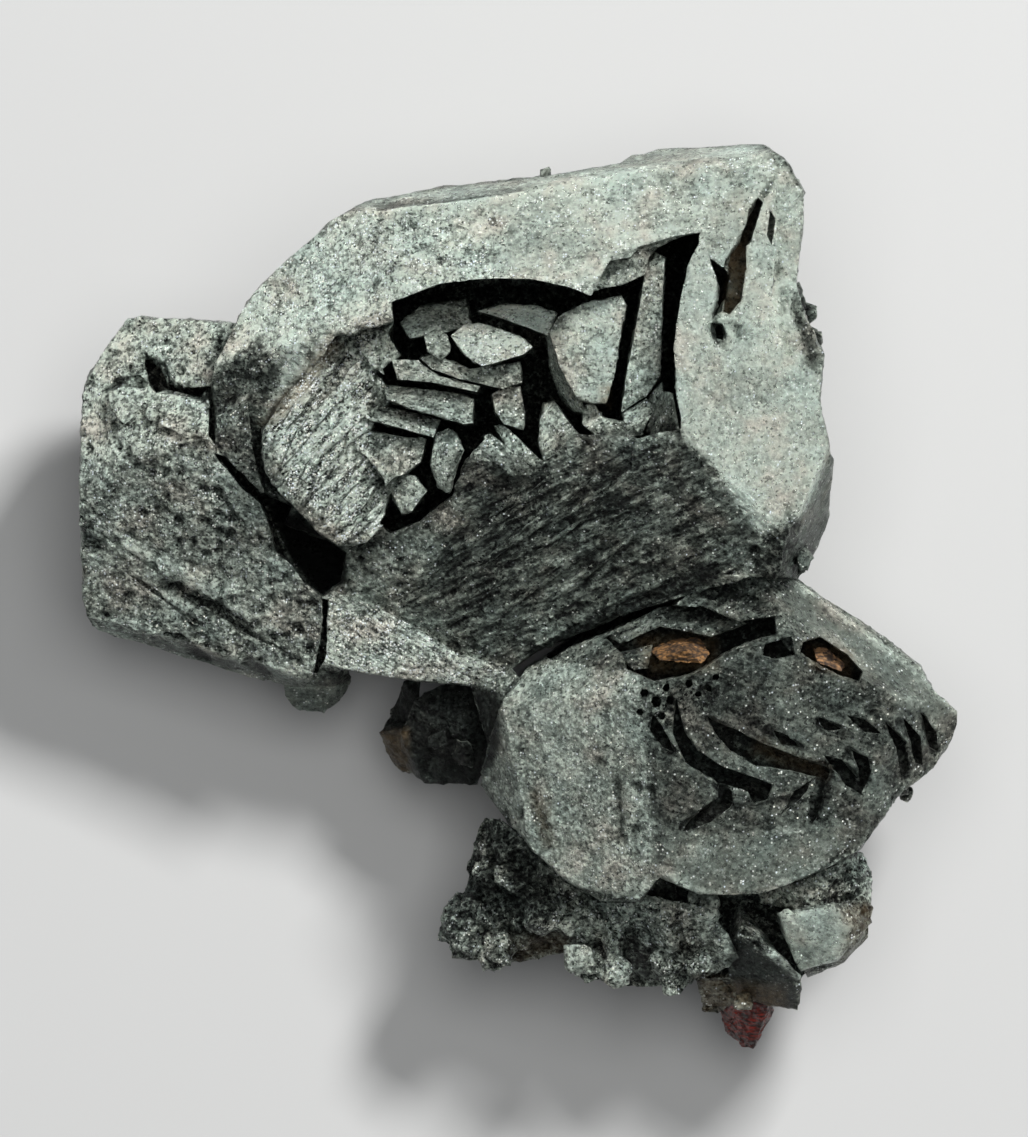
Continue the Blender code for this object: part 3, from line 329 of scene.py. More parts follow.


# Each zone's tone is partly the face's own tone and partly painted light and shade: faces turned to the light
# are painted paler, faces turned away darker
ZONES = [
    # Top beam, and its sparkling left part
    Zone([(36.5, 20.5), (48.0, 20.0), (60.0, 17.4), (68.0, 16.3), (77.0, 15.4), (80.0, 20.0), (76.0, 24.0),
          (69.3, 23.6), (64.0, 24.8), (61.0, 26.0), (59.0, 30.2), (56.0, 29.2), (49.5, 28.6), (44.0, 29.3),
          (38.8, 30.5), (33.4, 34.0), (30.0, 38.0), (26.5, 42.0), (21.5, 39.0), (24.5, 30.0), (30.0, 25.0)],
         0.72, 0.09, 0.04, (10.0, -1.2), (3.0, 0.9), sparkle=0.60, contrast=0.13, streak=0.3),
    Zone([(24.0, 30.0), (33.0, 22.0), (40.0, 21.5), (50.0, 21.5), (50.0, 28.6), (44.0, 29.3), (38.8, 30.5),
          (33.4, 34.0), (28.0, 37.0), (23.5, 36.0)], 0.62, 0.16, pits=0.22, sparkle=1.3, contrast=0.24,
         softness=2.0),
    # Narrow side band above it
    Zone([(36.5, 20.4), (48.0, 20.0), (60.0, 17.4), (68.0, 16.3), (77.0, 15.4), (76.3, 14.0), (63.0, 14.4),
          (54.0, 17.3), (44.0, 18.3)], 0.62, 0.08, 0.12, (10.0, -1.4), (2.6, 0.4), sparkle=0.2,
         streak=0.6),
    # Right beam
    Zone([(69.2, 23.7), (68.3, 25.0), (67.6, 28.0), (66.8, 33.0), (66.4, 37.0), (67.0, 39.5), (67.6, 42.0),
          (68.3, 44.0), (70.5, 46.2), (72.0, 47.8), (73.5, 50.0), (75.0, 53.0), (76.5, 54.0), (79.0, 53.5),
          (81.2, 50.0), (83.0, 45.5), (82.9, 44.0), (82.0, 40.0), (82.3, 35.5), (80.5, 31.0), (80.0, 28.0),
          (80.4, 20.0), (78.0, 16.0), (76.0, 20.0)], 0.74, 0.07, sparkle=0.36, contrast=0.11),
    # Its lower side, painted dark as painted shade, and the broken place below it
    Zone([(83.0, 45.5), (81.2, 50.0), (79.0, 53.5), (79.4, 58.2), (82.4, 55.4), (84.4, 47.0)], 0.24, 0.14),
    Zone([(73.8, 53.4), (76.4, 53.4), (79.2, 52.4), (79.8, 55.0), (79.0, 58.6), (75.4, 57.2)], 0.10, 0.30,
         pits=0.35, sparkle=0.15, contrast=0.2),
    # Left rim, painted dark as painted shade since it turns away from the light
    Zone([(20.0, 40.0), (23.0, 36.0), (26.0, 33.5), (28.4, 37.5), (26.2, 41.0), (26.0, 43.5), (28.6, 49.5),
          (25.0, 49.0), (21.0, 45.0)], 0.18, 0.20, pits=0.30, sparkle=0.5, contrast=0.2),
    # Left inner wall of the hollow
    Zone([(33.5, 33.8), (30.0, 38.0), (26.2, 43.0), (29.0, 49.0), (31.8, 51.5), (34.0, 54.5), (37.0, 54.0),
          (40.0, 50.0), (40.0, 45.0), (37.0, 42.0), (38.0, 35.0), (38.5, 31.0)],
         0.56, 0.16, 0.42, (8.0, -7.0), (4.2, 0.7), pits=0.25, sparkle=2.4, contrast=0.32, streak=1.0),
    # Plates in the hollow
    Zone([(38.6, 30.6), (44.0, 29.2), (56.0, 29.3), (67.0, 26.0), (67.0, 42.0), (57.4, 43.0), (52.0, 46.0),
          (46.2, 45.8), (42.0, 52.0), (39.0, 53.2), (37.0, 45.0), (37.8, 38.0)], 0.46, 0.09, sparkle=0.6,
         contrast=0.2),
    Zone([(47.8, 30.6), (50.0, 30.2), (55.8, 31.3), (54.8, 33.6), (53.3, 35.5), (48.2, 37.0), (44.6, 33.8)],
         0.74, 0.10, sparkle=1.3, contrast=0.24, softness=0.4),
    Zone([(54.9, 33.4), (58.4, 30.4), (62.3, 29.6), (61.6, 36.0), (60.6, 40.4), (57.6, 39.8)], 0.66, 0.09,
         sparkle=0.5, contrast=0.2, softness=0.4),
    # Lower face, painted dark as painted shade since it turns away from the light
    Zone([(46.0, 45.2), (52.0, 47.2), (58.0, 44.6), (64.0, 44.2), (68.3, 44.5), (71.0, 46.5), (73.5, 50.0),
          (76.4, 54.2), (74.0, 57.0), (62.0, 61.6), (53.5, 65.0), (50.0, 66.6), (46.0, 64.0), (41.0, 61.0),
          (36.4, 58.4), (35.6, 55.0), (41.0, 52.5), (44.0, 49.5)], 0.23, 0.06, 0.30, (8.0, -4.5), (2.8, 0.42),
         sparkle=0.16, contrast=0.13, streak=1.1),
    Zone([(35.8, 55.4), (41.0, 52.5), (44.0, 49.5), (46.0, 50.0), (43.6, 56.0), (39.6, 60.4), (36.4, 58.4)],
         0.38, 0.10, 0.18, (8.0, -6.0), (2.2, 0.5), pits=0.1, sparkle=0.6, contrast=0.16, streak=0.5,
         softness=1.6),
    # Foot ledge
    Zone([(31.6, 58.6), (36.0, 60.0), (40.0, 62.0), (46.0, 65.6), (50.6, 66.6), (49.6, 69.2), (42.5, 68.8),
          (34.0, 67.4), (31.0, 67.0)], 0.44, 0.09, 0.16, (8.0, 5.0), (2.4, 0.45), sparkle=1.8, contrast=0.28,
         streak=0.7),
    # Left crystal: upper face painted lighter, dark face painted darker as painted light and shade, and the
    # lower bevel
    Zone([(12.5, 31.4), (25.0, 31.8), (20.8, 38.5), (21.0, 43.8), (8.0, 46.5), (7.2, 39.0), (11.0, 33.6)],
         0.57, 0.14, 0.10, (8.0, -1.0), (2.0, 0.7), pits=0.30, sparkle=0.6, contrast=0.28, streak=0.15),
    Zone([(7.4, 46.5), (20.7, 43.8), (23.0, 46.6), (27.0, 51.0), (30.0, 56.0), (32.6, 60.0), (32.0, 66.0),
          (30.2, 68.3), (9.0, 62.8), (7.2, 54.0)], 0.42, 0.17, 0.10, (8.0, 4.6), (2.0, 0.8), pits=0.34,
         sparkle=0.65, contrast=0.22, streak=0.2),
    Zone([(8.6, 62.4), (20.0, 65.0), (30.4, 68.2), (30.0, 69.4), (14.0, 66.6)], 0.50, 0.06, sparkle=0.4),
    # Lower-right crystal: left part, right part, ridge, lower edge
    Zone([(47.8, 78.0), (50.0, 70.0), (54.0, 66.4), (64.0, 67.0), (66.0, 88.0), (63.0, 91.0), (56.0, 88.4)],
         0.46, 0.09, 0.05, (4.0, 9.0), (2.4, 0.8), pits=0.08, sparkle=0.35, contrast=0.17),
    Zone([(64.0, 67.0), (80.0, 63.0), (92.0, 69.0), (96.4, 72.0), (88.0, 83.0), (80.0, 88.4), (70.0, 90.0),
          (66.0, 88.0)], 0.22, 0.06, 0.10, (10.0, 4.0), (3.0, 0.45), pits=0.06, sparkle=0.25,
         contrast=0.12, streak=0.4),
    Zone([(64.8, 68.0), (71.6, 68.0), (71.6, 70.6), (66.8, 72.8), (64.6, 71.4)], 0.16, 0.20, pits=0.8,
         contrast=0.2),
    Zone([(66.4, 84.0), (74.0, 84.2), (81.0, 83.4), (86.0, 83.0), (80.0, 88.4), (70.0, 89.6), (66.4, 87.6)],
         0.46, 0.05, sparkle=0.3, softness=1.0),
    Zone([(79.0, 58.0), (82.4, 59.2), (96.4, 71.2), (94.4, 73.6), (84.0, 65.4), (78.4, 61.2)], 0.42, 0.08),
    # Hollow of the lower-right crystal
    Zone([(54.0, 65.6), (60.0, 61.6), (70.0, 57.0), (77.6, 60.8), (77.8, 63.4), (72.2, 65.6), (68.0, 67.8),
          (62.8, 67.0)], 0.20, 0.16, 0.20, (8.0, -5.0), (2.2, 0.5), sparkle=0.2, contrast=0.15, streak=0.6),
    # Small crystals and the base cluster
    Zone([(37.4, 68.0), (50.0, 68.8), (50.0, 75.0), (47.0, 79.4), (37.0, 78.0)], 0.02, 0.20, 0.12, (5.0, 6.0),
         (2.0, 0.6), sparkle=0.15, contrast=0.08),
    Zone([(27.5, 68.0), (36.0, 67.6), (35.0, 72.0), (28.0, 72.4)], 0.34, 0.10),
    Zone([(48.0, 81.0), (56.0, 89.0), (66.0, 90.5), (78.0, 90.0), (88.0, 84.0), (89.0, 96.0), (80.0, 103.0),
          (60.0, 100.5), (44.0, 97.5)], 0.34, 0.20, pits=0.34, sparkle=0.6, contrast=0.26, chunks=1.1),
    Zone([(48.0, 81.0), (54.0, 87.0), (56.0, 94.0), (52.0, 99.0), (43.0, 97.5), (46.0, 90.0)], 0.09, 0.26,
         pits=0.45, sparkle=0.6, contrast=0.24, chunks=1.0, softness=2.0),
    Zone([(77.8, 91.4), (83.6, 90.4), (85.2, 93.0), (83.6, 96.2), (80.2, 97.4), (78.6, 94.4)], 0.68, 0.04,
         sparkle=0.1, softness=0.5),
    # Knobs at the outer edges
    Zone([(53.8, 16.2), (56.8, 16.2), (57.0, 18.6), (53.6, 18.8)], 0.62, 0.12),
    Zone([(78.6, 28.6), (83.0, 30.0), (83.4, 37.4), (80.4, 37.2)], 0.46, 0.20, pits=0.3, sparkle=0.2,
         contrast=0.15),
    Zone([(86.0, 78.4), (89.0, 78.4), (89.0, 81.4), (86.0, 81.4)], 0.36, 0.14),
    # Shadowed gap between the left crystal and the hollow's wall
    Zone([(27.0, 50.6), (29.6, 51.4), (32.0, 53.4), (34.4, 55.4), (34.6, 58.2), (31.8, 59.6),
          (28.8, 55.6)], 0.0, 0.2, sparkle=0.0, contrast=0.02, softness=0.5),
    Zone([(73.0, 93.0), (79.6, 97.6), (80.4, 102.0), (73.4, 100.4)], 0.14, 0.08, sparkle=0.2),
]

STAINS = [
    Stain([(73.5, 19.0), (75.8, 19.2), (75.2, 23.4), (73.8, 24.4), (72.8, 22.4)], 0.35, 1.4),
    Stain([(53.0, 79.4), (55.0, 79.4), (55.8, 84.8), (54.2, 85.0)], 0.45, 0.8),
    Stain([(76.0, 73.6), (83.0, 76.6), (82.6, 78.0), (75.0, 75.4)], 0.35, 1.0),
    Stain([(51.0, 94.0), (57.0, 93.6), (57.0, 98.0), (51.6, 98.0)], 0.40, 1.6),
    Stain([(33.0, 33.4), (34.2, 34.4), (31.2, 39.0), (27.6, 42.6), (26.0, 42.4), (29.6, 37.6)], 0.75),
    Stain([(74.6, 23.4), (74.8, 27.0), (74.0, 30.2), (72.9, 31.6), (72.0, 31.4), (73.0, 25.6)], 0.8, 0.5),
    Stain([(59.8, 38.4), (61.2, 38.4), (61.2, 40.8), (59.8, 41.0)], 0.8, 0.5),
    Stain([(37.6, 73.2), (40.6, 73.0), (41.0, 77.8), (38.0, 77.6)], 0.7, 0.8),
    Stain([(63.6, 63.6), (71.6, 63.6), (71.8, 67.0), (65.0, 67.4)], 0.6, 1.2),
    Stain([(80.6, 64.2), (85.4, 65.0), (85.2, 67.8), (81.0, 66.6)], 0.6, 1.0),
    Stain([(84.4, 91.0), (87.4, 90.4), (87.4, 94.4), (84.0, 97.0)], 0.5, 0.8),
    Stain([(70.0, 98.0), (78.6, 99.0), (78.6, 102.6), (70.0, 101.6)], 0.7, 1.2),
]

# Each mark's tone is painted shade in its groove, pit or crack, and a painted highlight on its ridge or
# bright band
MARKS = [
    # Pit line and edge on the top beam
    Mark([(37.9, 20.7), (42.0, 20.2), (47.0, 19.6), (51.9, 18.8)], 0.55, -0.35, -0.35),
    Mark([(39.1, 21.2), (50.0, 19.9), (61.8, 18.1)], 0.5, 0.10, 0.16),
    # Crack and pits of the right beam
    Mark([(76.9, 18.4), (76.4, 19.6), (75.5, 20.7), (75.0, 22.8), (74.1, 24.6), (72.9, 26.3), (72.3, 28.1),
          (71.9, 30.7), (71.6, 31.9)], 0.5, -0.45, -0.40),
    Mark([(71.6, 32.8), (72.0, 34.2)], 0.8, -0.60, -0.55),
    Mark([(73.6, 32.6), (74.2, 33.8)], 0.6, -0.30, -0.30),
    Mark([(77.9, 26.9), (77.9, 27.3)], 0.5, -0.30, -0.35),
    Mark([(78.2, 29.3), (78.4, 31.0)], 0.5, -0.30, -0.35),
    Mark([(79.6, 30.6), (80.6, 33.4), (81.4, 36.2)], 0.7, -0.40, -0.35),
    Mark([(78.8, 51.0), (79.5, 52.7)], 0.6, -0.30, -0.30),
    # Pits painted dark as painted shade, and the bright band of the left crystal, a painted highlight
    Mark([(14.2, 35.8), (15.9, 36.7), (16.7, 38.6), (18.9, 39.1), (20.2, 39.4)], 0.8, -0.60, -0.45),
    Mark([(11.0, 38.4), (13.4, 37.2)], 0.6, -0.30, -0.30),
    Mark([(7.9, 53.3), (9.5, 54.9)], 0.8, -0.40, -0.30),
    Mark([(16.2, 58.4), (18.0, 59.2), (22.1, 61.3), (24.7, 63.0)], 0.8, -0.40, -0.26),
    Mark([(17.5, 63.7), (20.5, 66.4)], 0.7, -0.35, -0.25),
    Mark([(24.7, 66.2), (26.6, 67.8)], 0.7, -0.35, -0.25),
    Mark([(11.4, 54.1), (17.3, 57.1), (23.1, 59.5)], 1.2, 0.20, 0.22),
    Mark([(8.7, 62.4), (19.9, 67.0), (30.4, 68.6)], 0.6, 0.10, 0.18),
    # Growth grooves of the lower-right crystal
    Mark([(70.8, 71.8), (73.5, 73.4), (76.3, 74.8), (78.9, 75.9), (83.0, 77.1)], 0.5, -0.25, -0.30),
    Mark([(67.7, 71.9), (68.4, 74.2), (70.3, 76.4), (72.5, 77.7), (77.0, 78.8)], 0.5, -0.25, -0.30),
    Mark([(65.5, 72.6), (67.1, 75.1)], 0.7, -0.25, -0.35),
    Mark([(71.9, 78.3), (72.8, 80.2), (70.6, 81.5), (68.4, 82.8)], 0.7, -0.35, -0.35),
    Mark([(83.0, 77.1), (82.6, 79.4), (81.6, 81.5)], 0.7, -0.35, -0.40),
    Mark([(82.1, 76.4), (84.6, 76.7), (86.2, 78.3)], 0.55, -0.30, -0.35),
    Mark([(84.9, 75.1), (86.9, 76.4), (86.5, 78.3)], 0.55, -0.30, -0.35),
    Mark([(81.9, 72.3), (84.3, 73.2)], 0.55, -0.30, -0.35),
    Mark([(77.3, 73.4), (80.2, 74.8)], 0.5, -0.20, -0.25),
    Mark([(88.8, 72.6), (90.0, 73.9), (91.0, 75.8), (90.7, 77.7)], 0.5, -0.25, -0.30),
    Mark([(90.0, 72.3), (91.6, 73.9), (92.0, 76.1)], 0.5, -0.25, -0.28),
    Mark([(92.3, 71.3), (93.2, 73.9), (93.6, 75.1)], 0.5, -0.20, -0.25),
    Mark([(73.0, 80.6), (78.0, 80.0), (82.0, 80.4)], 0.5, -0.15, -0.18),
    Mark([(66.8, 83.4), (74.1, 83.7), (80.8, 82.8), (85.3, 82.5)], 0.6, 0.12, 0.22),
    Mark([(61.7, 78.0), (62.1, 84.1)], 0.5, -0.25, -0.22),
    Mark([(53.4, 79.6), (54.6, 84.4)], 1.0, -0.15, -0.20),
    Mark([(79.2, 58.2), (92.3, 67.5), (95.8, 71.3)], 0.6, 0.10, 0.25),
    Mark([(66.1, 86.9), (69.3, 89.2), (74.4, 89.5), (78.9, 88.5)], 0.7, 0.10, 0.20),
    # Shadow where the lower-right crystal goes under the big one
    Mark([(53.6, 65.6), (57.4, 63.6), (61.8, 61.3), (66.8, 59.0), (71.2, 57.2)], 1.1, -0.10, -0.60),
]


# Finishes

# Sockets of a Mix node that mixes colours
FIRST_COLOUR, SECOND_COLOUR, MIXED_COLOUR = 6, 7, 2

# Each layer's share of the crystal grain's tilt, and how many times finer than the grain size it is
GRAIN_LAYERS = ((0.6, 1.0), (0.4, 2.7))
CELL_MIDDLE = (0.5, 0.5, 0.5)

# A painted glint's edge, and its cool, warm and greenish tints
GLINT_EDGE = Span(0.30, 0.52, 1.0, 0.0)
GLINT_GREENISH = Span(0.5, 1.0)
COOL_TINT, WARM_TINT, GREENISH_TINT = (0.80, 0.88, 0.98), (0.98, 0.96, 0.82), (0.92, 0.97, 0.90)


class Maths(Enum):
    """What a Math node does with its two numbers."""

    ADD = "ADD"
    MULTIPLY = "MULTIPLY"
    DIVIDE = "DIVIDE"
    LARGER = "MAXIMUM"
    BELOW = "LESS_THAN"


class VectorMaths(Enum):
    """What a Vector Math node does with its vectors."""

    ADD = "ADD"
    SUBTRACT = "SUBTRACT"
    MULTIPLY = "MULTIPLY"
    SCALE = "SCALE"
    TO_UNIT = "NORMALIZE"


class Blend(Enum):
    """How two colours are mixed."""

    MIX = "MIX"
    MULTIPLY = "MULTIPLY"


class Kind(Enum):
    """What a socket of a node group carries."""

    NUMBER = "NodeSocketFloat"
    VECTOR = "NodeSocketVector"
    COLOUR = "NodeSocketColor"


@dataclass(frozen=True)
class Cloud:
    """The settings of a noise texture."""

    scale: float
    detail: float
    roughness: float


def rgba(colour: Source) -> Source:
    """A colour with its alpha, or the source as it is."""
    return (*colour, 1.0) if isinstance(colour, tuple) and len(colour) == 3 else colour


class Nodes:
    """A short hand for building a node tree."""

    def __init__(self, tree: bpy.types.NodeTree) -> None:
        """Keep the tree."""
        self.tree = tree

    def add(self, kind: str, **settings: object) -> bpy.types.Node:
        """Add a node.

        Args:
            kind: its type.
            settings: its properties and their values.

        Returns:
            The node.
        """
        node = self.tree.nodes.new(kind)
        for name, value in settings.items():
            setattr(node, name, value)
        return node

    def feed(self, socket: bpy.types.NodeSocket, source: Source) -> None:
        """Link a source to a socket, or set the socket's own value.

        Args:
            socket: the input.
            source: an output, a node whose first output is meant, or a constant.
        """
        if isinstance(source, bpy.types.NodeSocket):
            self.tree.links.new(source, socket)
        elif isinstance(source, bpy.types.Node):
            self.tree.links.new(source.outputs[0], socket)
        else:
            socket.default_value = source

    def group(self, tree: bpy.types.NodeTree, inputs: dict[str, Source]) -> bpy.types.Node:
        """Add a node group and feed its inputs.

        Args:
            tree: the group's own tree.
            inputs: what each input gets.

        Returns:
            The node.
        """
        node = self.add("ShaderNodeGroup", node_tree=tree)
        for name, source in inputs.items():
            self.feed(node.inputs[name], source)
        return node

    def math(self, operation: Maths, first: Source, second: Source) -> bpy.types.NodeSocket:
        """Work on two numbers.

        Args:
            operation: what is done with them.
            first: the first number.
            second: the second number.

        Returns:
            The result.
        """
        node = self.add("ShaderNodeMath", operation=operation.value)
        self.feed(node.inputs[0], first)
        self.feed(node.inputs[1], second)
        return node.outputs[0]

    def product(self, *factors: Source) -> bpy.types.NodeSocket:
        """Multiply two or more numbers.

        Args:
            factors: the numbers.

        Returns:
            Their product.
        """
        total = factors[0]
        for factor in factors[1:]:
            total = self.math(Maths.MULTIPLY, total, factor)
        return total

    def vector(
        self, operation: VectorMaths, first: Source, second: Source | None = None
    ) -> bpy.types.NodeSocket:
        """Work on vectors.

        Args:
            operation: what is done with them.
            first: the first vector.
            second: the second vector, or the number that the first is scaled by.

        Returns:
            The result.
        """
        node = self.add("ShaderNodeVectorMath", operation=operation.value)
        self.feed(node.inputs[0], first)
        if second is not None:
            self.feed(node.inputs["Scale" if operation is VectorMaths.SCALE else 1], second)
        return node.outputs[0]

    def ranged(self, value: Source, span: Span) -> bpy.types.NodeSocket:
        """A value mapped by a span.

        Args:
            value: the value.
            span: from where to where it is mapped.

        Returns:
            The mapped value.
        """
        node = self.add("ShaderNodeMapRange", clamp=True)
        limits = {"From Min": span.low, "From Max": span.high, "To Min": span.to_low, "To Max": span.to_high}
        for name, number in limits.items():
            node.inputs[name].default_value = number
        self.feed(node.inputs["Value"], value)
        return node.outputs[0]

    def mixed(
        self, share: Source, first: Source, second: Source, blend: Blend = Blend.MIX
    ) -> bpy.types.NodeSocket:
        """A mix of two colours.

        Args:
            share: how much of the second colour there is.
            first: the first colour.
            second: the second colour.
            blend: how they are mixed.

        Returns:
            The mixed colour.
        """
        node = self.add("ShaderNodeMix", data_type="RGBA", blend_type=blend.value)
        self.feed(node.inputs["Factor"], share)
        self.feed(node.inputs[FIRST_COLOUR], rgba(first))
        self.feed(node.inputs[SECOND_COLOUR], rgba(second))
        return node.outputs[MIXED_COLOUR]

    def place(self) -> bpy.types.NodeSocket:
        """The object's own coordinates."""
        return self.add("ShaderNodeTexCoord").outputs["Object"]

    def noise(self, cloud: Cloud, place: Source | None = None) -> bpy.types.NodeSocket:
        """A noise texture.

        Args:
            cloud: its settings.
            place: its coordinates, or the object's own where nothing is given.

        Returns:
            Its value.
        """
        node = self.add("ShaderNodeTexNoise")
        for name in ("scale", "detail", "roughness"):
            node.inputs[name.capitalize()].default_value = getattr(cloud, name)
        self.feed(node.inputs["Vector"], self.place() if place is None else place)
        return node.outputs[0]

    def cells(self, scale: Source) -> bpy.types.Node:
        """A texture of random cells on the object's own coordinates.

        Args:
            scale: how many cells there are in a metre.

        Returns:
            The node.
        """
        node = self.add("ShaderNodeTexVoronoi", feature="F1")
        self.feed(node.inputs["Vector"], self.place())
        self.feed(node.inputs["Scale"], scale)
        return node

    def channels(self, colour: Source) -> list[bpy.types.NodeSocket]:
        """Take a colour apart.

        Args:
            colour: the colour.

        Returns:
            Its three channels.
        """
        node = self.add("ShaderNodeSeparateColor")
        self.feed(node.inputs[0], colour)
        return list(node.outputs)

    def attribute(self, name: str) -> bpy.types.NodeSocket:
        """The value of a mesh attribute."""
        return self.add("ShaderNodeAttribute", attribute_name=name).outputs["Fac"]


def new_group(
    name: str, inputs: dict[str, Kind], outputs: dict[str, Kind]
) -> tuple[Nodes, bpy.types.Node, bpy.types.Node]:
    """An empty node group with its sockets.

    Args:
        name: its name.
        inputs: its inputs and what each carries.
        outputs: its outputs and what each carries.
    """
    tree = bpy.data.node_groups.new(name, "ShaderNodeTree")
    for direction, sockets in (("INPUT", inputs), ("OUTPUT", outputs)):
        for socket, kind in sockets.items():
            tree.interface.new_socket(socket, in_out=direction, socket_type=kind.value)
    kit = Nodes(tree)
    return kit, kit.add("NodeGroupInput"), kit.add("NodeGroupOutput")


def new_material(name: str) -> tuple[bpy.types.Material, Nodes, bpy.types.Node]:
    """A new material.

    Args:
        name: its name.

    Returns:
        The material, its node kit and its main shader.
    """
    material = bpy.data.materials.new(name)
    material.use_nodes = True
    return material, Nodes(material.node_tree), material.node_tree.nodes["Principled BSDF"]


def grain_group() -> bpy.types.NodeTree:
    """The group that tilts the surface grain by grain and gives each grain a random number.

    Returns:
        The group's tree.
    """
    kit, entry, leave = new_group(
        "crystal_grain",
        {"Grain Size": Kind.NUMBER, "Tilt": Kind.NUMBER},
        {"Normal": Kind.VECTOR, "Grain": Kind.NUMBER},
    )
    scale = kit.math(Maths.DIVIDE, 1.0, entry.outputs["Grain Size"])
    leaning = kit.add("ShaderNodeNewGeometry").outputs["Normal"]
    draws = []
    for share, times_finer in GRAIN_LAYERS:
        draw = kit.cells(kit.product(scale, times_finer)).outputs["Color"]
        tilt = kit.vector(VectorMaths.SUBTRACT, draw, CELL_MIDDLE)
        tilt = kit.vector(VectorMaths.SCALE, tilt, kit.product(entry.outputs["Tilt"], share))
        leaning = kit.vector(VectorMaths.ADD, leaning, tilt)
        draws.append(draw)
    kit.feed(leave.inputs["Normal"], kit.vector(VectorMaths.TO_UNIT, leaning))
    kit.feed(leave.inputs["Grain"], kit.channels(draws[0])[0])
    return kit.tree


def painted_glint_group() -> bpy.types.NodeTree:
    """The group that paints glints: it picks out single grains, paints them bright and gives them a faint
    tint.

    Returns:
        The group's tree.
    """
    kit, entry, leave = new_group(
        "painted_glints",
        {"Glint Size": Kind.NUMBER, "Share": Kind.NUMBER},
        {"Mask": Kind.NUMBER, "Tint": Kind.COLOUR},
    )
    cells = kit.cells(kit.math(Maths.DIVIDE, 1.0, entry.outputs["Glint Size"]))
    choice, warmth, greenness = kit.channels(cells.outputs["Color"])
    chosen = kit.math(Maths.BELOW, choice, entry.outputs["Share"])
    kit.feed(leave.inputs["Mask"], kit.product(chosen, kit.ranged(cells.outputs["Distance"], GLINT_EDGE)))
    tint = kit.mixed(warmth, COOL_TINT, WARM_TINT)
    kit.feed(leave.inputs["Tint"], kit.mixed(kit.ranged(greenness, GLINT_GREENISH), tint, GREENISH_TINT))
    return kit.tree


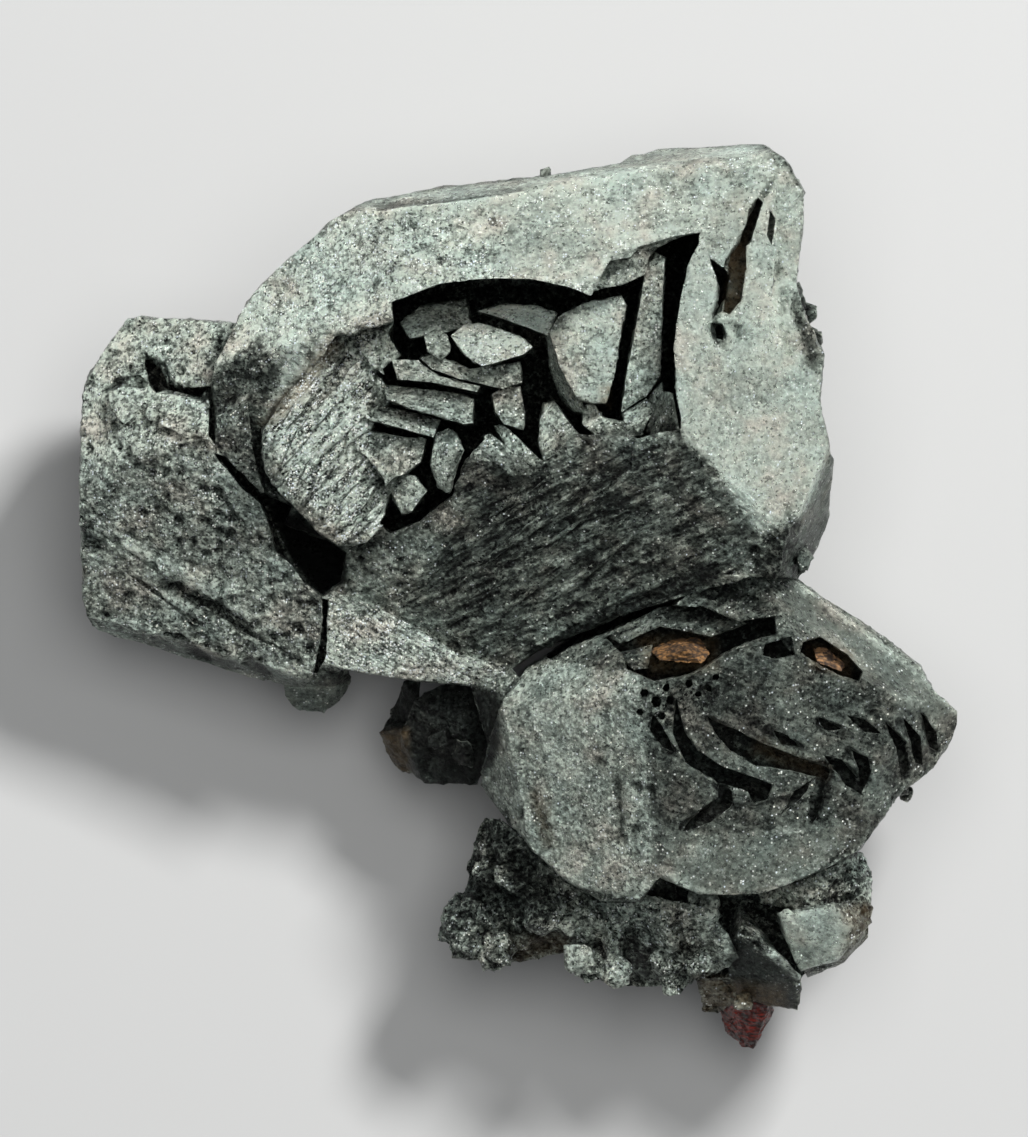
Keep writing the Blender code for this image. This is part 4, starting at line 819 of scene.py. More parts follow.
@dataclass(frozen=True)
class HematiteFinish:
    """Metallic grey-green crystal faces that sparkle grain by grain, from tilted grains and painted glints.
    """

    name: str = "hematite"

    # Colours from tone 0 to tone 1, and the tones of the two between
    black: Colour = (0.004, 0.0045, 0.004)
    dark: Colour = (0.036, 0.042, 0.036)
    middle: Colour = (0.188, 0.211, 0.178)
    pale: Colour = (0.65, 0.705, 0.61)
    dark_tone: float = 0.22
    middle_tone: float = 0.55

    # Tints in broad patches, and the ochre of the stains
    bluish: Colour = (0.92, 1.0, 1.03)
    purplish: Colour = (1.08, 0.96, 0.96)
    ochre: Colour = (0.13, 0.085, 0.035)

    # Noise textures
    cloud: Cloud = Cloud(1900.0, 8.0, 0.80)
    veil: Cloud = Cloud(260.0, 3.0, 0.55)
    clump: Cloud = Cloud(900.0, 4.0, 0.7)
    streak: Cloud = Cloud(1.0, 4.0, 0.62)
    streak_stretch: Place = (0.42, 2.4, 1.0)

    # How noise and grain change the tone
    cloud_tone: Span = Span(0.40, 0.66, -0.9, 2.6)
    grain_tone: Span = Span(0.0, 1.0, -1.0, 1.0)
    streak_tone: Span = Span(0.34, 0.60, -0.24, 0.12)

    # Where the tints, the stains and the painted glints come up
    bluish_where: Span = Span(0.42, 0.68)
    purplish_where: Span = Span(0.45, 0.30)
    stain_where: Span = Span(0.35, 0.6)
    glint_clumps: Span = Span(0.42, 0.60, 0.05, 1.0)
    glint_tone: Span = Span(0.02, 0.30)
    glint_size: float = 0.00019
    glint_share: float = 0.42

    # Lustre, less where a stain or a painted glint is
    metallic: float = 0.80
    dulled: Span = Span(0.0, 1.0, 1.0, 0.05)
    roughness: Span = Span(0.0, 1.0, 0.24, 0.48)

    # Fine relief
    grain_size: float = 0.00020
    tilt: float = 0.36
    ridge_where: Span = Span(0.36, 0.60)
    ridge_share: float = 0.55
    bump_depth: float = 0.00034

    def build(self, grains: bpy.types.NodeTree, glint_tree: bpy.types.NodeTree) -> bpy.types.Material:
        """The material.

        Args:
            grains: the crystal grain group.
            glint_tree: the group of painted glints, bright grains that stand in for glints of light.

        Returns:
            The finished material.
        """
        material, kit, shader = new_material(self.name)
        grain = kit.group(grains, {"Grain Size": self.grain_size, "Tilt": self.tilt})
        share = kit.product(kit.attribute("sparkle"), self.glint_share)
        glint = kit.group(glint_tree, {"Glint Size": self.glint_size, "Share": share})
        cloud = kit.noise(self.cloud)
        flow = kit.add("ShaderNodeAttribute", attribute_name="flow").outputs["Vector"]
        streak = kit.noise(self.streak, kit.vector(VectorMaths.MULTIPLY, flow, self.streak_stretch))

        stain = kit.product(kit.attribute("stain"), kit.ranged(cloud, self.stain_where))
        # Painted glints: pale grains mixed into the colour only where the tone is lit, standing in for glints
        # of light
        clumps = kit.ranged(kit.noise(self.clump), self.glint_clumps)
        lit = kit.ranged(kit.attribute("tone"), self.glint_tone)
        bright = kit.product(glint.outputs["Mask"], lit, clumps)
        colour = self.tinted(kit, self.toned(kit, cloud, grain.outputs["Grain"], streak))
        colour = kit.mixed(stain, colour, self.ochre)
        kit.feed(shader.inputs["Base Color"], kit.mixed(bright, colour, glint.outputs["Tint"]))

        dull = kit.ranged(kit.math(Maths.LARGER, stain, bright), self.dulled)
        kit.feed(shader.inputs["Metallic"], kit.product(self.metallic, dull))
        kit.feed(shader.inputs["Roughness"], kit.ranged(grain.outputs["Grain"], self.roughness))

        ridges = kit.product(kit.ranged(streak, self.ridge_where), kit.attribute("streak"), self.ridge_share)
        bump = kit.add("ShaderNodeBump")
        bump.inputs["Strength"].default_value = 1.0
        bump.inputs["Distance"].default_value = self.bump_depth
        kit.feed(bump.inputs["Height"], kit.math(Maths.ADD, cloud, ridges))
        kit.feed(bump.inputs["Normal"], grain.outputs["Normal"])
        kit.feed(shader.inputs["Normal"], bump)
        return material

    def toned(self, kit: Nodes, cloud: Source, grain: Source, streak: Source) -> bpy.types.NodeSocket:
        """The colour of the stored tone with its fine changes.

        Args:
            kit: the material's node kit.
            cloud: the fine noise.
            grain: each grain's random number.
            streak: the noise along the growth lines.

        Returns:
            The colour.
        """
        contrast = kit.attribute("contrast")
        fine = kit.math(
            Maths.ADD,
            kit.product(kit.ranged(cloud, self.cloud_tone), contrast),
            kit.product(kit.ranged(grain, self.grain_tone), contrast),
        )
        tone = kit.math(Maths.ADD, kit.attribute("tone"), fine)
        lines = kit.product(kit.ranged(streak, self.streak_tone), kit.attribute("streak"))
        ramp = kit.add("ShaderNodeValToRGB")
        kit.feed(ramp.inputs[0], kit.math(Maths.ADD, tone, lines))
        stops = ramp.color_ramp.elements
        stops[0].position, stops[0].color = 0.0, rgba(self.black)
        stops[1].position, stops[1].color = 1.0, rgba(self.pale)
        for place, colour in ((self.dark_tone, self.dark), (self.middle_tone, self.middle)):
            stops.new(place).color = rgba(colour)
        return ramp.outputs[0]

    def tinted(self, kit: Nodes, colour: Source) -> bpy.types.NodeSocket:
        """A colour with the bluish and purplish patches.

        Args:
            kit: the material's node kit.
            colour: the colour without them.

        Returns:
            The tinted colour.
        """
        veil = kit.noise(self.veil)
        for where, tint in ((self.bluish_where, self.bluish), (self.purplish_where, self.purplish)):
            colour = kit.mixed(kit.ranged(veil, where), colour, tint, Blend.MULTIPLY)
        return colour


@dataclass(frozen=True)
class EarthFinish:
    """Dull earthy matrix with fibres and fine grain."""

    name: str
    dark: Colour
    light: Colour
    roughness: float = 0.85
    fibre_turn: float = 0.2
    fibre_stretch: Place = (0.22, 1.0, 1.0)
    fibre: Cloud = Cloud(4200.0, 3.0, 0.6)
    blot: Cloud = Cloud(1100.0, 3.0, 0.6)
    light_fibres: Span = Span(0.40, 0.64)
    light_blots: Span = Span(0.36, 0.54)
    grain_size: float = 0.00030
    tilt: float = 0.6

    def build(self, grains: bpy.types.NodeTree) -> bpy.types.Material:
        """The material.

        Args:
            grains: the crystal grain group.

        Returns:
            The finished material.
        """
        material, kit, shader = new_material(self.name)
        grain = kit.group(grains, {"Grain Size": self.grain_size, "Tilt": self.tilt})
        turned = kit.add("ShaderNodeMapping")
        turned.inputs["Rotation"].default_value = (0.0, 0.0, self.fibre_turn)
        turned.inputs["Scale"].default_value = self.fibre_stretch
        kit.feed(turned.inputs["Vector"], kit.place())
        fibres = kit.ranged(kit.noise(self.fibre, turned), self.light_fibres)
        blots = kit.ranged(kit.noise(self.blot), self.light_blots)
        kit.feed(shader.inputs["Base Color"], kit.mixed(kit.product(fibres, blots), self.dark, self.light))
        kit.feed(shader.inputs["Roughness"], self.roughness)
        kit.feed(shader.inputs["Normal"], grain.outputs["Normal"])
        return material


# Skin and meshes

# Angle between faces, in radians, over which an edge is shaded sharp
CREASE = math.radians(38.0)

# The post that a crystal is cut out with: its foot below the table and its height, in metres
POST_FOOT = -0.01
POST_HEIGHT = 0.07

# Vertices closer than this, in metres, are one
MERGE_DISTANCE = 1.0e-6

# Rounds of dividing, and how far up a face looks to count as a front or a side face
REFINE_ROUNDS = 9
FRONT_LOOK = 0.3
SIDE_LOOK = -0.2

# How a face's look upwards lets the zones and the painted shade show
ZONES_SHOW = Span(-0.05, 0.25)
OPEN_TO_SKY = Span(0.02, 0.17)
UP = (0.0, 0.0, 1.0)

# The skin where no zone is drawn, and what the zones change
PLAIN_SKIN = Zone([], 0.34, grain=0.18, pits=0.15, sparkle=0.3, contrast=0.18)
ZONED = ("tone", "grain", "pits", "sparkle", "contrast", "streak", "chunks")

# What the finish reads from the mesh, beside the flow of the streaks
STORED = ("tone", "stain", "sparkle", "contrast", "streak")


class Wall(IntEnum):
    """What a face of a cut crystal is, kept as its material index until the finish is put on."""

    SKIN = 0
    JOINT = 1


class Draw(IntEnum):
    """Which random field a form of the skin is drawn from."""

    LATH = 7
    WANDER = 61
    FINE = 100
    BROAD = 200
    WAVE = 300
    PIT = 400
    CHUNK = 500
    PATCH = 600


@dataclass(frozen=True)
class Relief:
    """The forms of the skin: sizes in mm, and how strongly each shows in height and in tone."""

    fine_size: float = 0.75
    fine_height: float = 1.9
    broad_size: float = 2.4
    broad_height: float = 1.3
    broad_tone: float = 0.5
    wave_size: float = 3.0
    wave_layers: int = 4
    wave_height: float = 0.8
    swell: float = 0.05
    chunk_size: float = 4.2
    chunk_height: float = 1.6
    chunk_tone: float = 0.34
    pit_size: float = 1.05
    pit_shape: Span = Span(0.0, 0.62, 1.0, 0.0)
    pit_depth: float = 0.5
    # How much darker pits are painted, as painted shade
    pit_tone: float = 0.35
    patch_size: float = 7.0
    patch_layers: int = 2
    patch_tone: float = 0.16
    # How much lighter raised laths and darker sunken ones are painted, as painted light and shade
    lath_tone: float = 0.8
    lath_depth: float = 2.5
    wander: float = 0.35
    wander_size: float = 4.0
    mark_shoulder: float = 1.3
    hold: Span = Span(0.0, 0.7)
    hold_rounds: int = 4
    table_gap: float = 0.00002


@dataclass(frozen=True)
class Shade:
    """Painted shade by depth: how depth below the surroundings paints shade into the skin and takes its
    painted glints, and how raised edges get a painted highlight: sizes in mm.
    """

    close_cell: float = 0.3
    close_reach: int = 2
    wide_cell: float = 0.5
    wide_reach: int = 5
    close_dark: Span = Span(0.15, 1.15, 0.0, 0.30)
    wide_dark: Span = Span(0.8, 4.3, 0.0, 0.35)
    edge_light: Span = Span(0.05, 0.40, 0.0, 0.1225)
    edge_tone: Span = Span(0.0, 0.2)
    sparkle: Span = Span(0.4, 2.2, 1.0, 0.1)


RELIEF = Relief()
SHADE = Shade()


def stained(plan: np.ndarray) -> np.ndarray:
    """How strongly each place on the plan is stained."""
    shares = (within(plan, patch.outline, patch.softness) * patch.strength for patch in STAINS)
    return np.maximum.reduce(list(shares))


def add_wall_slots(target: bpy.types.Object) -> None:
    """Give an object an empty material slot for each kind of wall."""
    for _ in Wall:
        target.data.materials.append(None)


def new_object(name: str, mesh_data: bmesh.types.BMesh) -> bpy.types.Object:
    """An object in the scene from a finished bmesh, which is used up.

    Args:
        name: its name.
        mesh_data: its shape.

    Returns:
        The object.
    """
    mesh = bpy.data.meshes.new(name)
    mesh_data.to_mesh(mesh)
    mesh_data.free()
    made = bpy.data.objects.new(name, mesh)
    bpy.context.scene.collection.objects.link(made)
    return made


def merged_copy(node: str, name: str) -> bpy.types.Object:
    """A copy of a CAD node with its loose triangles merged.

    Args:
        node: the CAD node.
        name: the name of the copy.

    Returns:
        The copy.
    """
    mesh_data = bmesh.new()
    mesh_data.from_mesh(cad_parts[node].data)
    bmesh.ops.remove_doubles(mesh_data, verts=mesh_data.verts, dist=MERGE_DISTANCE)
    copied = new_object(name, mesh_data)
    copied.data.materials.clear()
    add_wall_slots(copied)
    return copied


def read_rows(items: bpy.types.bpy_prop_collection, name: str, width: int, kind: type) -> np.ndarray:
    """A property of all items of a mesh.

    Args:
        items: the mesh's vertices, edges, loops or polygons.
        name: the property.
        width: how many numbers it has.
        kind: their type.

    Returns:
        One row for each item.
    """
    numbers = np.empty(len(items) * width, kind)
    items.foreach_get(name, numbers)
    return numbers.reshape(-1, width)


def divide_long_edges(mesh_data: bmesh.types.BMesh, long_edges: list[bmesh.types.BMEdge]) -> None:
    """Divide edges once and triangulate the faces beside them."""
    bmesh.ops.subdivide_edges(mesh_data, edges=long_edges, cuts=1)
    bmesh.ops.triangulate(mesh_data, faces=[face for face in mesh_data.faces if len(face.verts) > 3])


def finish_piece(piece: bpy.types.Object, finish: bpy.types.Material, node: str) -> None:
    """Put the finish on a piece, let it ride its body in place of its CAD node, and log it.

    Args:
        piece: the sculpted piece.
        finish: its material.
        node: the CAD node that it replaces.
    """
    piece.data.materials.clear()
    piece.data.materials.append(finish)
    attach(piece, BODY)
    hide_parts(node)
    log.info("%s: %d triangles", piece.name, len(piece.data.polygons))


# Crystals


@dataclass
class CrystalPiece:
    """One crystal of the specimen, cut from the solid and dressed.

    Attributes:
        name: its name.
        territory: its outline on the plan.
        front_edge: the longest edge of a face that looks up, in metres.
        side_edge: the longest edge of a face that looks sideways, in metres.
        back_edge: the longest edge of a face that looks down, in metres.
        gloom: how strongly the painted shade of its hollows darkens it.
        seed: picks its random fields.
    """

    name: str
    territory: Outline
    front_edge: float = 0.00042
    side_edge: float = 0.00090
    back_edge: float = 0.00140
    gloom: float = 1.0
    seed: int = 1

    def cut(self, solid: bpy.types.Object) -> bpy.types.Object:
        """The share of the solid that stands on the territory.

        Args:
            solid: the whole specimen as one closed mesh.

        Returns:
            A closed object with its inner walls marked as joints.
        """
        mesh_data = bmesh.new()
        ring = [
            mesh_data.verts.new(((x - PLAN_CENTRE[0]) * UNIT, (PLAN_CENTRE[1] - y) * UNIT, POST_FOOT))
            for x, y in self.territory
        ]
        raised = bmesh.ops.extrude_face_region(mesh_data, geom=[mesh_data.faces.new(ring)])
        tops = [item for item in raised["geom"] if isinstance(item, bmesh.types.BMVert)]
        bmesh.ops.translate(mesh_data, verts=tops, vec=(0.0, 0.0, POST_HEIGHT))
        for face in mesh_data.faces:
            face.material_index = Wall.JOINT
        bmesh.ops.recalc_face_normals(mesh_data, faces=mesh_data.faces)
        post = new_object(self.name + "_territory", mesh_data)
        add_wall_slots(post)
        piece = bpy.data.objects.new(self.name, solid.data.copy())
        bpy.context.scene.collection.objects.link(piece)
        cutting = piece.modifiers.new("territory", "BOOLEAN")
        cutting.operation = "INTERSECT"
        cutting.solver = "EXACT"
        cutting.object = post
        cutting.material_mode = "INDEX"
        bpy.context.view_layer.update()
        evaluated = piece.evaluated_get(bpy.context.evaluated_depsgraph_get())
        result = bpy.data.meshes.new_from_object(evaluated)
        piece.modifiers.clear()
        piece.data = result
        bpy.data.objects.remove(post)
        return piece

    def refine(self, piece: bpy.types.Object) -> None:
        """Divide the long edges until the surface can carry fine relief.

        Args:
            piece: the crystal as it was cut.
        """
        mesh_data = bmesh.new()
        mesh_data.from_mesh(piece.data)
        bmesh.ops.triangulate(mesh_data, faces=mesh_data.faces)
        bmesh.ops.dissolve_degenerate(mesh_data, edges=mesh_data.edges, dist=MERGE_DISTANCE)
        bmesh.ops.triangulate(mesh_data, faces=mesh_data.faces)
        for _ in range(REFINE_ROUNDS):
            long_edges = [edge for edge in mesh_data.edges if self.too_long(edge)]
            if not long_edges:
                break
            divide_long_edges(mesh_data, long_edges)
        mesh_data.normal_update()
        mesh_data.to_mesh(piece.data)
        mesh_data.free()

    def too_long(self, edge: bmesh.types.BMEdge) -> bool:
        """Whether an edge is longer than the faces beside it may have.

        Args:
            edge: the edge.

        Returns:
            True where it has to be divided.
        """
        length = edge.calc_length()
        if length <= self.front_edge or all(face.material_index == Wall.JOINT for face in edge.link_faces):
            return False
        look = max(face.normal.z for face in edge.link_faces)
        if look > FRONT_LOOK:
            return True
        return length > (self.side_edge if look > SIDE_LOOK else self.back_edge)

    def sculpt(self, piece: bpy.types.Object) -> None:
        """Move the skin by its grain, growth laths, pits and marks, and store what the finish reads.

        Args:
            piece: the refined crystal.
        """
        mesh = piece.data
        places = read_rows(mesh.vertices, "co", 3, np.float64)
        normals = read_rows(mesh.vertices, "normal", 3, np.float64)
        plan = plan_of(places)
        in_mm = places / MM
        shown = ZONES_SHOW.of(normals[:, 2])
        look, laths, flow = self.zoned(plan, in_mm, shown)
        move, tone = self.relief(in_mm, look, laths)
        # Each mark moves the skin and paints shade into its groove or a highlight onto its ridge
        for mark in MARKS:
            share = RELIEF.mark_shoulder * (1.0 - line_distance(plan, mark.line) / mark.width)
            share = np.clip(share, 0.0, 1.0) * shown
            move += mark.height * share
            tone += mark.tone * share

        places += normals * (move * self.freedom(mesh, places) * MM)[:, None]
        places = np.clip(places, *(np.array(corner) for corner in CAD_BOX))
        mesh.vertices.foreach_set("co", places.ravel())
        mesh.update()

        # Painted shade: the deeper a place lies below its surroundings, the darker its tone and the fewer its
        # painted glints; raised edges get a painted highlight
        close_depth = sunk_depth(places / MM, SHADE.close_cell, SHADE.close_reach)
        wide_depth = sunk_depth(places / MM, SHADE.wide_cell, SHADE.wide_reach)
        tone -= self.gloom * (SHADE.close_dark.of(close_depth) + SHADE.wide_dark.of(wide_depth))
        tone += SHADE.edge_light.of(-close_depth) * SHADE.edge_tone.of(tone)
        open_tone = np.maximum(tone, 0.0) - PLAIN_SKIN.tone
        look["tone"] = PLAIN_SKIN.tone + open_tone * OPEN_TO_SKY.of(normals[:, 2])
        look["stain"] = stained(plan)
        look["sparkle"] *= SHADE.sparkle.of(wide_depth)
        for name in STORED:
            layer = mesh.attributes.new(name, "FLOAT", "POINT")
            layer.data.foreach_set("value", look[name].astype(np.float32))
        layer = mesh.attributes.new("flow", "FLOAT_VECTOR", "POINT")
        layer.data.foreach_set("vector", flow.astype(np.float32).ravel())

    def zoned(
        self, plan: np.ndarray, in_mm: np.ndarray, shown: np.ndarray
    ) -> tuple[dict[str, np.ndarray], np.ndarray, np.ndarray]:
        """Spread the looks and the growth laths of the zones over the skin.

        Args:
            plan: each vertex on the plan.
            in_mm: each vertex in mm.
            shown: how far the zones show on each vertex.

        Returns:
            The look of each vertex by name, the height of its lath in mm, and the place that its streaks are
            drawn on.
        """
        look = {name: np.full(len(plan), getattr(PLAIN_SKIN, name)) for name in ZONED}
        laths = np.zeros(len(plan))
        flow = in_mm.copy()
        for number, zone in enumerate(ZONES):
            share = within(plan, zone.outline, zone.softness) * shown
            inside = share > 0.0
            if not inside.any():
                continue
            for name, value in look.items():
                value += (getattr(zone, name) - value) * share
            if not zone.laths:
                continue
            heading = np.array((zone.heading[0], -zone.heading[1], 0.0))
            heading /= np.linalg.norm(heading)
            turned = np.stack([in_mm @ heading, in_mm @ np.cross(heading, UP), in_mm[:, 2]], axis=1)
            mostly = share > 0.5
            flow[mostly] = turned[mostly]
            spots = turned[inside] / (*zone.lath_size, RELIEF.lath_depth)
            wander = smooth_noise(in_mm[inside] / RELIEF.wander_size, self.seed + Draw.WANDER)
            spots[:, 1] += RELIEF.wander * wander
            _, draw, _ = facets(spots, self.seed + Draw.LATH + number)
            laths[inside] += share[inside] * zone.laths * (draw - 0.5)
        return look, laths, flow

    def relief(
        self, in_mm: np.ndarray, look: dict[str, np.ndarray], laths: np.ndarray
    ) -> tuple[np.ndarray, np.ndarray]:
        """The fine forms of the skin.

        Args:
            in_mm: each vertex in mm.
            look: the look of each vertex by name.
            laths: the height of each vertex's lath in mm.

        Returns:
            How far each vertex moves out in mm, and its tone.
        """
        fine, _, _ = facets(in_mm / RELIEF.fine_size, self.seed + Draw.FINE)
        broad, broad_draw, _ = facets(in_mm / RELIEF.broad_size, self.seed + Draw.BROAD)
        chunk, chunk_draw, _ = facets(in_mm / RELIEF.chunk_size, self.seed + Draw.CHUNK)
        wave = layered_noise(in_mm / RELIEF.wave_size, self.seed + Draw.WAVE, RELIEF.wave_layers)
        patch = layered_noise(in_mm / RELIEF.patch_size, self.seed + Draw.PATCH, RELIEF.patch_layers)
        _, pit_draw, pit_distance = facets(in_mm / RELIEF.pit_size, self.seed + Draw.PIT)
        pit = (pit_draw < look["pits"]) * RELIEF.pit_shape.of(pit_distance)

        grain = RELIEF.fine_height * fine + RELIEF.broad_height * broad + RELIEF.wave_height * wave
        move = look["grain"] * grain + RELIEF.swell * wave + laths - RELIEF.pit_depth * pit
        move += look["chunks"] * RELIEF.chunk_height * chunk
        # Painted shade in pits and painted light and shade on the laths, then tone that differs at random
        tone = look["tone"] + RELIEF.lath_tone * laths - RELIEF.pit_tone * pit
        tone += RELIEF.broad_tone * look["contrast"] * (broad_draw - 0.5)
        tone += RELIEF.chunk_tone * look["chunks"] * (chunk_draw - 0.5)
        tone *= 1.0 + RELIEF.patch_tone * patch
        return move, tone

    @staticmethod
    def freedom(mesh: bpy.types.Mesh, places: np.ndarray) -> np.ndarray:
        """How freely each vertex may move: 0 on the joints and the rest face, 1 away from them.

        Args:
            mesh: the refined mesh, all triangles.
            places: its vertices in metres.

        Returns:
            One share for each vertex.
        """
        walls = read_rows(mesh.polygons, "material_index", 1, np.int32)[:, 0]
        corners = read_rows(mesh.loops, "vertex_index", 1, np.int64).reshape(-1, 3)
        first, second = read_rows(mesh.edges, "vertices", 2, np.int64).T
        away = np.full(len(places), 1.0)
        away[corners[walls == Wall.JOINT].ravel()] = 0.0
        away[places[:, 2] < RELIEF.table_gap] = 0.0
        lengths = np.linalg.norm(places[first] - places[second], axis=1) / MM
        for _ in range(RELIEF.hold_rounds):
            from_first, from_second = away[first] + lengths, away[second] + lengths
            np.minimum.at(away, second, from_first)
            np.minimum.at(away, first, from_second)
        return RELIEF.hold.of(away)

    def build(self, solid: bpy.types.Object, finish: bpy.types.Material) -> None:
        """Cut, refine, sculpt and dress the crystal.

        Args:
            solid: the whole specimen as one closed mesh.
            finish: its material.
        """
        piece = self.cut(solid)
        self.refine(piece)
        self.sculpt(piece)
        count = len(piece.data.polygons)
        piece.data.polygons.foreach_set("material_index", np.full(count, int(Wall.SKIN), np.int32))
        piece.data.polygons.foreach_set("use_smooth", np.ones(count, bool))
        piece.data.set_sharp_from_angle(angle=CREASE)
        finish_piece(piece, finish, HEMATITE_NODE)


# Edges of the plan, clear of the specimen
PLAN_LEFT, PLAN_RIGHT, PLAN_TOP, PLAN_BOTTOM = 0.0, 115.0, 0.0, 120.0

# Lines where the crystals meet
LEFT_JOINT = [(24.4, 30.0), (20.9, 38.6), (21.4, 44.6), (23.2, 47.2), (26.2, 50.2), (27.4, 53.2),
              (28.6, 55.8), (30.6, 58.6), (32.2, 59.8), (32.3, 62.0), (31.9, 64.4), (31.3, 67.4),
              (30.6, 68.8)]
LOWER_JOINT = [(30.6, 68.8), (36.0, 68.5), (42.5, 69.0), (49.8, 69.3)]
CLUSTER_JOINT = [(49.8, 69.3), (48.6, 73.5), (47.9, 77.4), (47.9, 78.8), (49.8, 81.5), (52.8, 85.1),
                 (56.3, 88.3), (59.9, 90.5), (64.1, 90.5), (66.0, 88.1), (70.0, 89.7), (74.0, 89.7),
                 (77.1, 89.3), (80.1, 88.3), (84.5, 86.3), (86.4, 85.2), (88.3, 82.6)]
GAP_JOINT = [(49.8, 69.3), (51.8, 67.8), (54.4, 66.0), (57.4, 63.8), (61.8, 61.9), (66.8, 59.6), (69.6, 57.9),
             (72.0, 57.4), (76.0, 57.7), (79.6, 58.0), (82.0, 58.5)]

PIECES = [
    CrystalPiece("big_hopper_crystal",
                 LEFT_JOINT + LOWER_JOINT[1:] + GAP_JOINT[1:]
                 + [(PLAN_RIGHT, 58.0), (PLAN_RIGHT, PLAN_TOP), (24.4, PLAN_TOP)],
                 front_edge=0.00052, side_edge=0.00120, back_edge=0.00190, seed=11),
    CrystalPiece("left_crystal",
                 LEFT_JOINT + [(PLAN_LEFT, 68.8), (PLAN_LEFT, PLAN_TOP), (24.4, PLAN_TOP)], seed=23),
    CrystalPiece("lower_right_crystal",
                 CLUSTER_JOINT + [(PLAN_RIGHT, 80.0), (PLAN_RIGHT, 58.0)] + GAP_JOINT[:0:-1],
                 gloom=0.6, seed=37),
    CrystalPiece("base_cluster",
                 [(PLAN_LEFT, 68.8)] + LOWER_JOINT + CLUSTER_JOINT[1:]
                 + [(PLAN_RIGHT, 80.0), (PLAN_RIGHT, PLAN_BOTTOM), (PLAN_LEFT, PLAN_BOTTOM)], seed=41),
]


# Matrix pieces


@dataclass(frozen=True)
class Remnant:
    """A rough earthy piece that replaces its CAD node.

    Attributes:
        node: the CAD node.
        name: its name.
        finish: its finish.
        seed: picks its random fields.
        longest_edge: how long its edges may be, in metres.
        refine_rounds: how often they are divided at most.
        lump_size: size of its lumps in mm.
        lump_height: how high they stand in mm.
        swell_size: size of its soft swells in mm.
        swell_height: how high they stand in mm.
        swell_draw: which random field the swells are drawn from.
    """

    node: str
    name: str
    finish: EarthFinish
    seed: int
    longest_edge: float = 0.00022
    refine_rounds: int = 6
    lump_size: float = 0.5
    lump_height: float = 0.22
    swell_size: float = 1.2
    swell_height: float = 0.10
    swell_draw: int = 5

    def build(self, grains: bpy.types.NodeTree) -> None:
        """Refine, roughen and dress the piece.

        Args:
            grains: the crystal grain group.
        """
        piece = merged_copy(self.node, self.name)
        mesh_data = bmesh.new()
        mesh_data.from_mesh(piece.data)
        bmesh.ops.triangulate(mesh_data, faces=mesh_data.faces)
        for _ in range(self.refine_rounds):
            long_edges = [edge for edge in mesh_data.edges if edge.calc_length() > self.longest_edge]
            if not long_edges:
                break
            divide_long_edges(mesh_data, long_edges)
        mesh_data.normal_update()
        in_mm = np.array([vert.co for vert in mesh_data.verts]) / MM
        lump, _, _ = facets(in_mm / self.lump_size, self.seed)
        move = self.lump_height * lump
        move += self.swell_height * layered_noise(in_mm / self.swell_size, self.seed + self.swell_draw)
        for vert, step in zip(mesh_data.verts, move):
            vert.co += vert.normal * (step * MM)
        mesh_data.to_mesh(piece.data)
        mesh_data.free()
        finish_piece(piece, self.finish.build(grains), self.node)


REMNANTS = [
    Remnant("ochre_remnant_large", "large_ochre_remnant",
            EarthFinish("ochre", (0.022, 0.011, 0.004), (0.24, 0.118, 0.036)), 51),
    Remnant("ochre_remnant_small", "small_ochre_remnant",
            EarthFinish("ochre_brown", (0.020, 0.010, 0.005), (0.26, 0.14, 0.060), fibre_turn=-0.6), 52),
    Remnant("red_matrix_tip", "red_tip",
            EarthFinish("red_matrix", (0.012, 0.003, 0.002), (0.20, 0.016, 0.008), 0.40, 1.2), 53),
]


# Table, light and camera


@dataclass(frozen=True)
class Light:
    """A square soft light."""

    name: str
    place: Place
    size: float
    power: float

    def build(self, target: Place) -> None:
        """Set the light up.

        Args:
            target: the place that it is aimed at.
        """
        light = bpy.data.lights.new(self.name, "AREA")
        light.size = self.size
        light.energy = self.power
        holder = bpy.data.objects.new(self.name, light)
        holder.location = self.place
        aim = Vector(target) - Vector(self.place)
        holder.rotation_euler = aim.to_track_quat("-Z", "Y").to_euler()
        bpy.context.scene.collection.objects.link(holder)


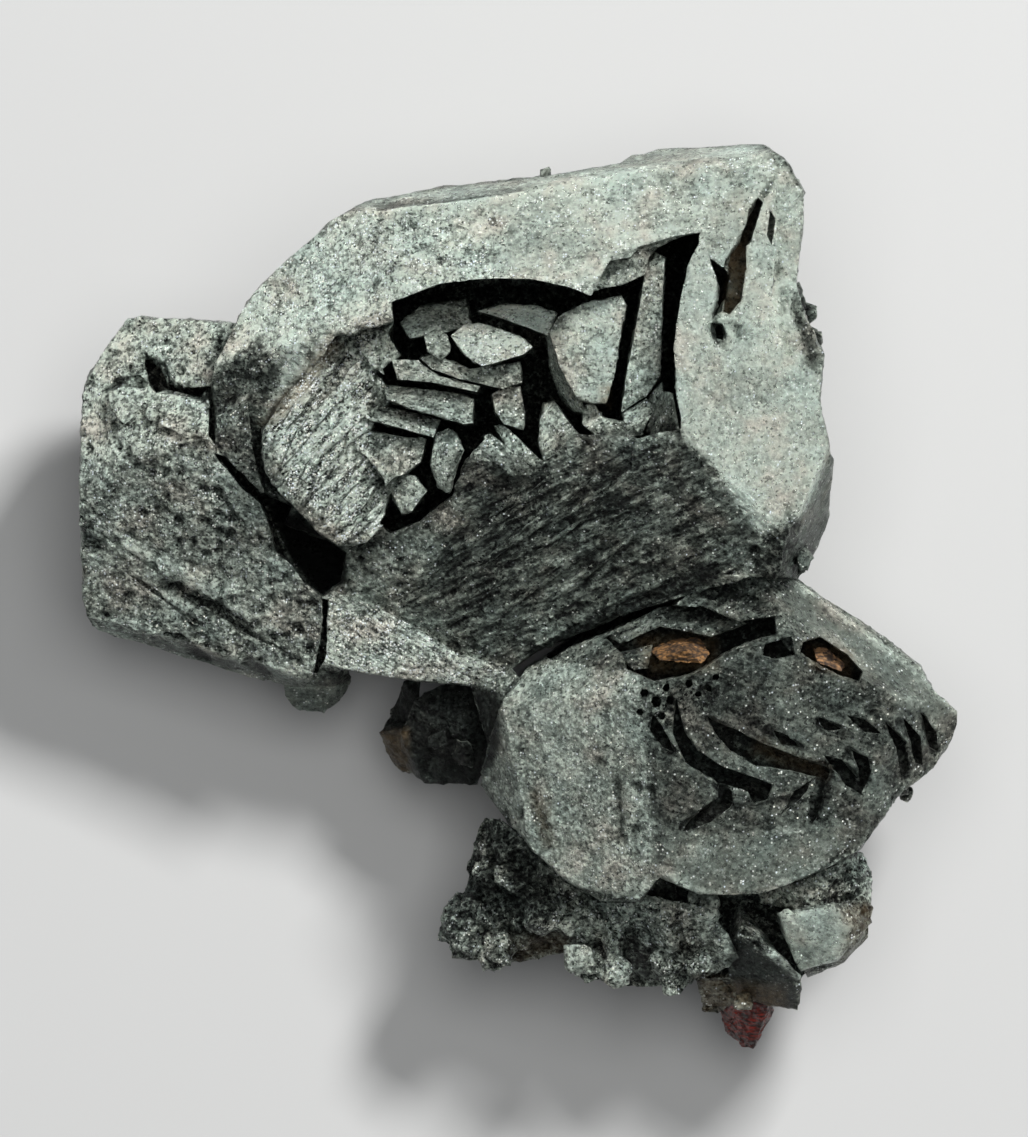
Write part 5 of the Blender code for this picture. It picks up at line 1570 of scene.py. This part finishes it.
@dataclass(frozen=True)
class Studio:
    """A plain pale floor, soft light and the camera straight above the specimen."""

    floor_colour: Colour = (0.38, 0.38, 0.375)
    floor_roughness: float = 0.8
    floor_half: float = 3.0
    lights: tuple[Light, ...] = (
        Light("key", (0.30, 0.42, 0.62), 0.16, 10.0),
        Light("top", (0.02, 0.10, 0.95), 0.50, 5.4),
    )
    light_target: Place = (0.0, 0.0, 0.02)
    sky_colour: Colour = (0.9, 0.95, 1.0)
    sky_strength: float = 0.16
    camera_target: Place = (-0.00032, 0.00252, 0.030)
    camera_distance: float = 2.0
    view_height: float = 0.09094
    sensor: float = 36.0

    def build_floor(self) -> None:
        """Lay the floor."""
        mesh_data = bmesh.new()
        bmesh.ops.create_grid(mesh_data, x_segments=1, y_segments=1, size=self.floor_half)
        floor = new_object("floor", mesh_data)
        material, kit, shader = new_material("floor")
        kit.feed(shader.inputs["Base Color"], rgba(self.floor_colour))
        kit.feed(shader.inputs["Roughness"], self.floor_roughness)
        floor.data.materials.append(material)

    def build_sky(self) -> None:
        """Fill the surroundings with faint even light."""
        world = bpy.data.worlds.new("studio")
        world.use_nodes = True
        background = world.node_tree.nodes["Background"]
        background.inputs["Color"].default_value = rgba(self.sky_colour)
        background.inputs["Strength"].default_value = self.sky_strength
        bpy.context.scene.world = world

    def build_camera(self) -> None:
        """Hang the camera over the specimen."""
        camera = bpy.data.objects.new("camera", bpy.data.cameras.new("camera"))
        camera.data.sensor_width = self.sensor
        camera.data.lens = self.sensor * self.camera_distance / self.view_height
        camera.location = Vector(self.camera_target) + Vector((0.0, 0.0, self.camera_distance))
        bpy.context.scene.collection.objects.link(camera)
        bpy.context.scene.camera = camera

    def build(self) -> None:
        """Set up the floor, the lights, the sky and the camera."""
        self.build_floor()
        for light in self.lights:
            light.build(self.light_target)
        self.build_sky()
        self.build_camera()
        bpy.context.scene.view_settings.view_transform = "Standard"
        log.info("studio: floor, %d lights, sky and camera", len(self.lights))


def main() -> None:
    """Build the specimen, its studio and its camera."""
    logging.basicConfig(level=logging.INFO, format="%(message)s")
    grains = grain_group()
    hematite = HematiteFinish().build(grains, painted_glint_group())
    solid = merged_copy(HEMATITE_NODE, "whole_specimen")
    for piece in PIECES:
        piece.build(solid, hematite)
    bpy.data.objects.remove(solid)
    for remnant in REMNANTS:
        remnant.build(grains)
    Studio().build()


if __name__ == "__main__":
    main()
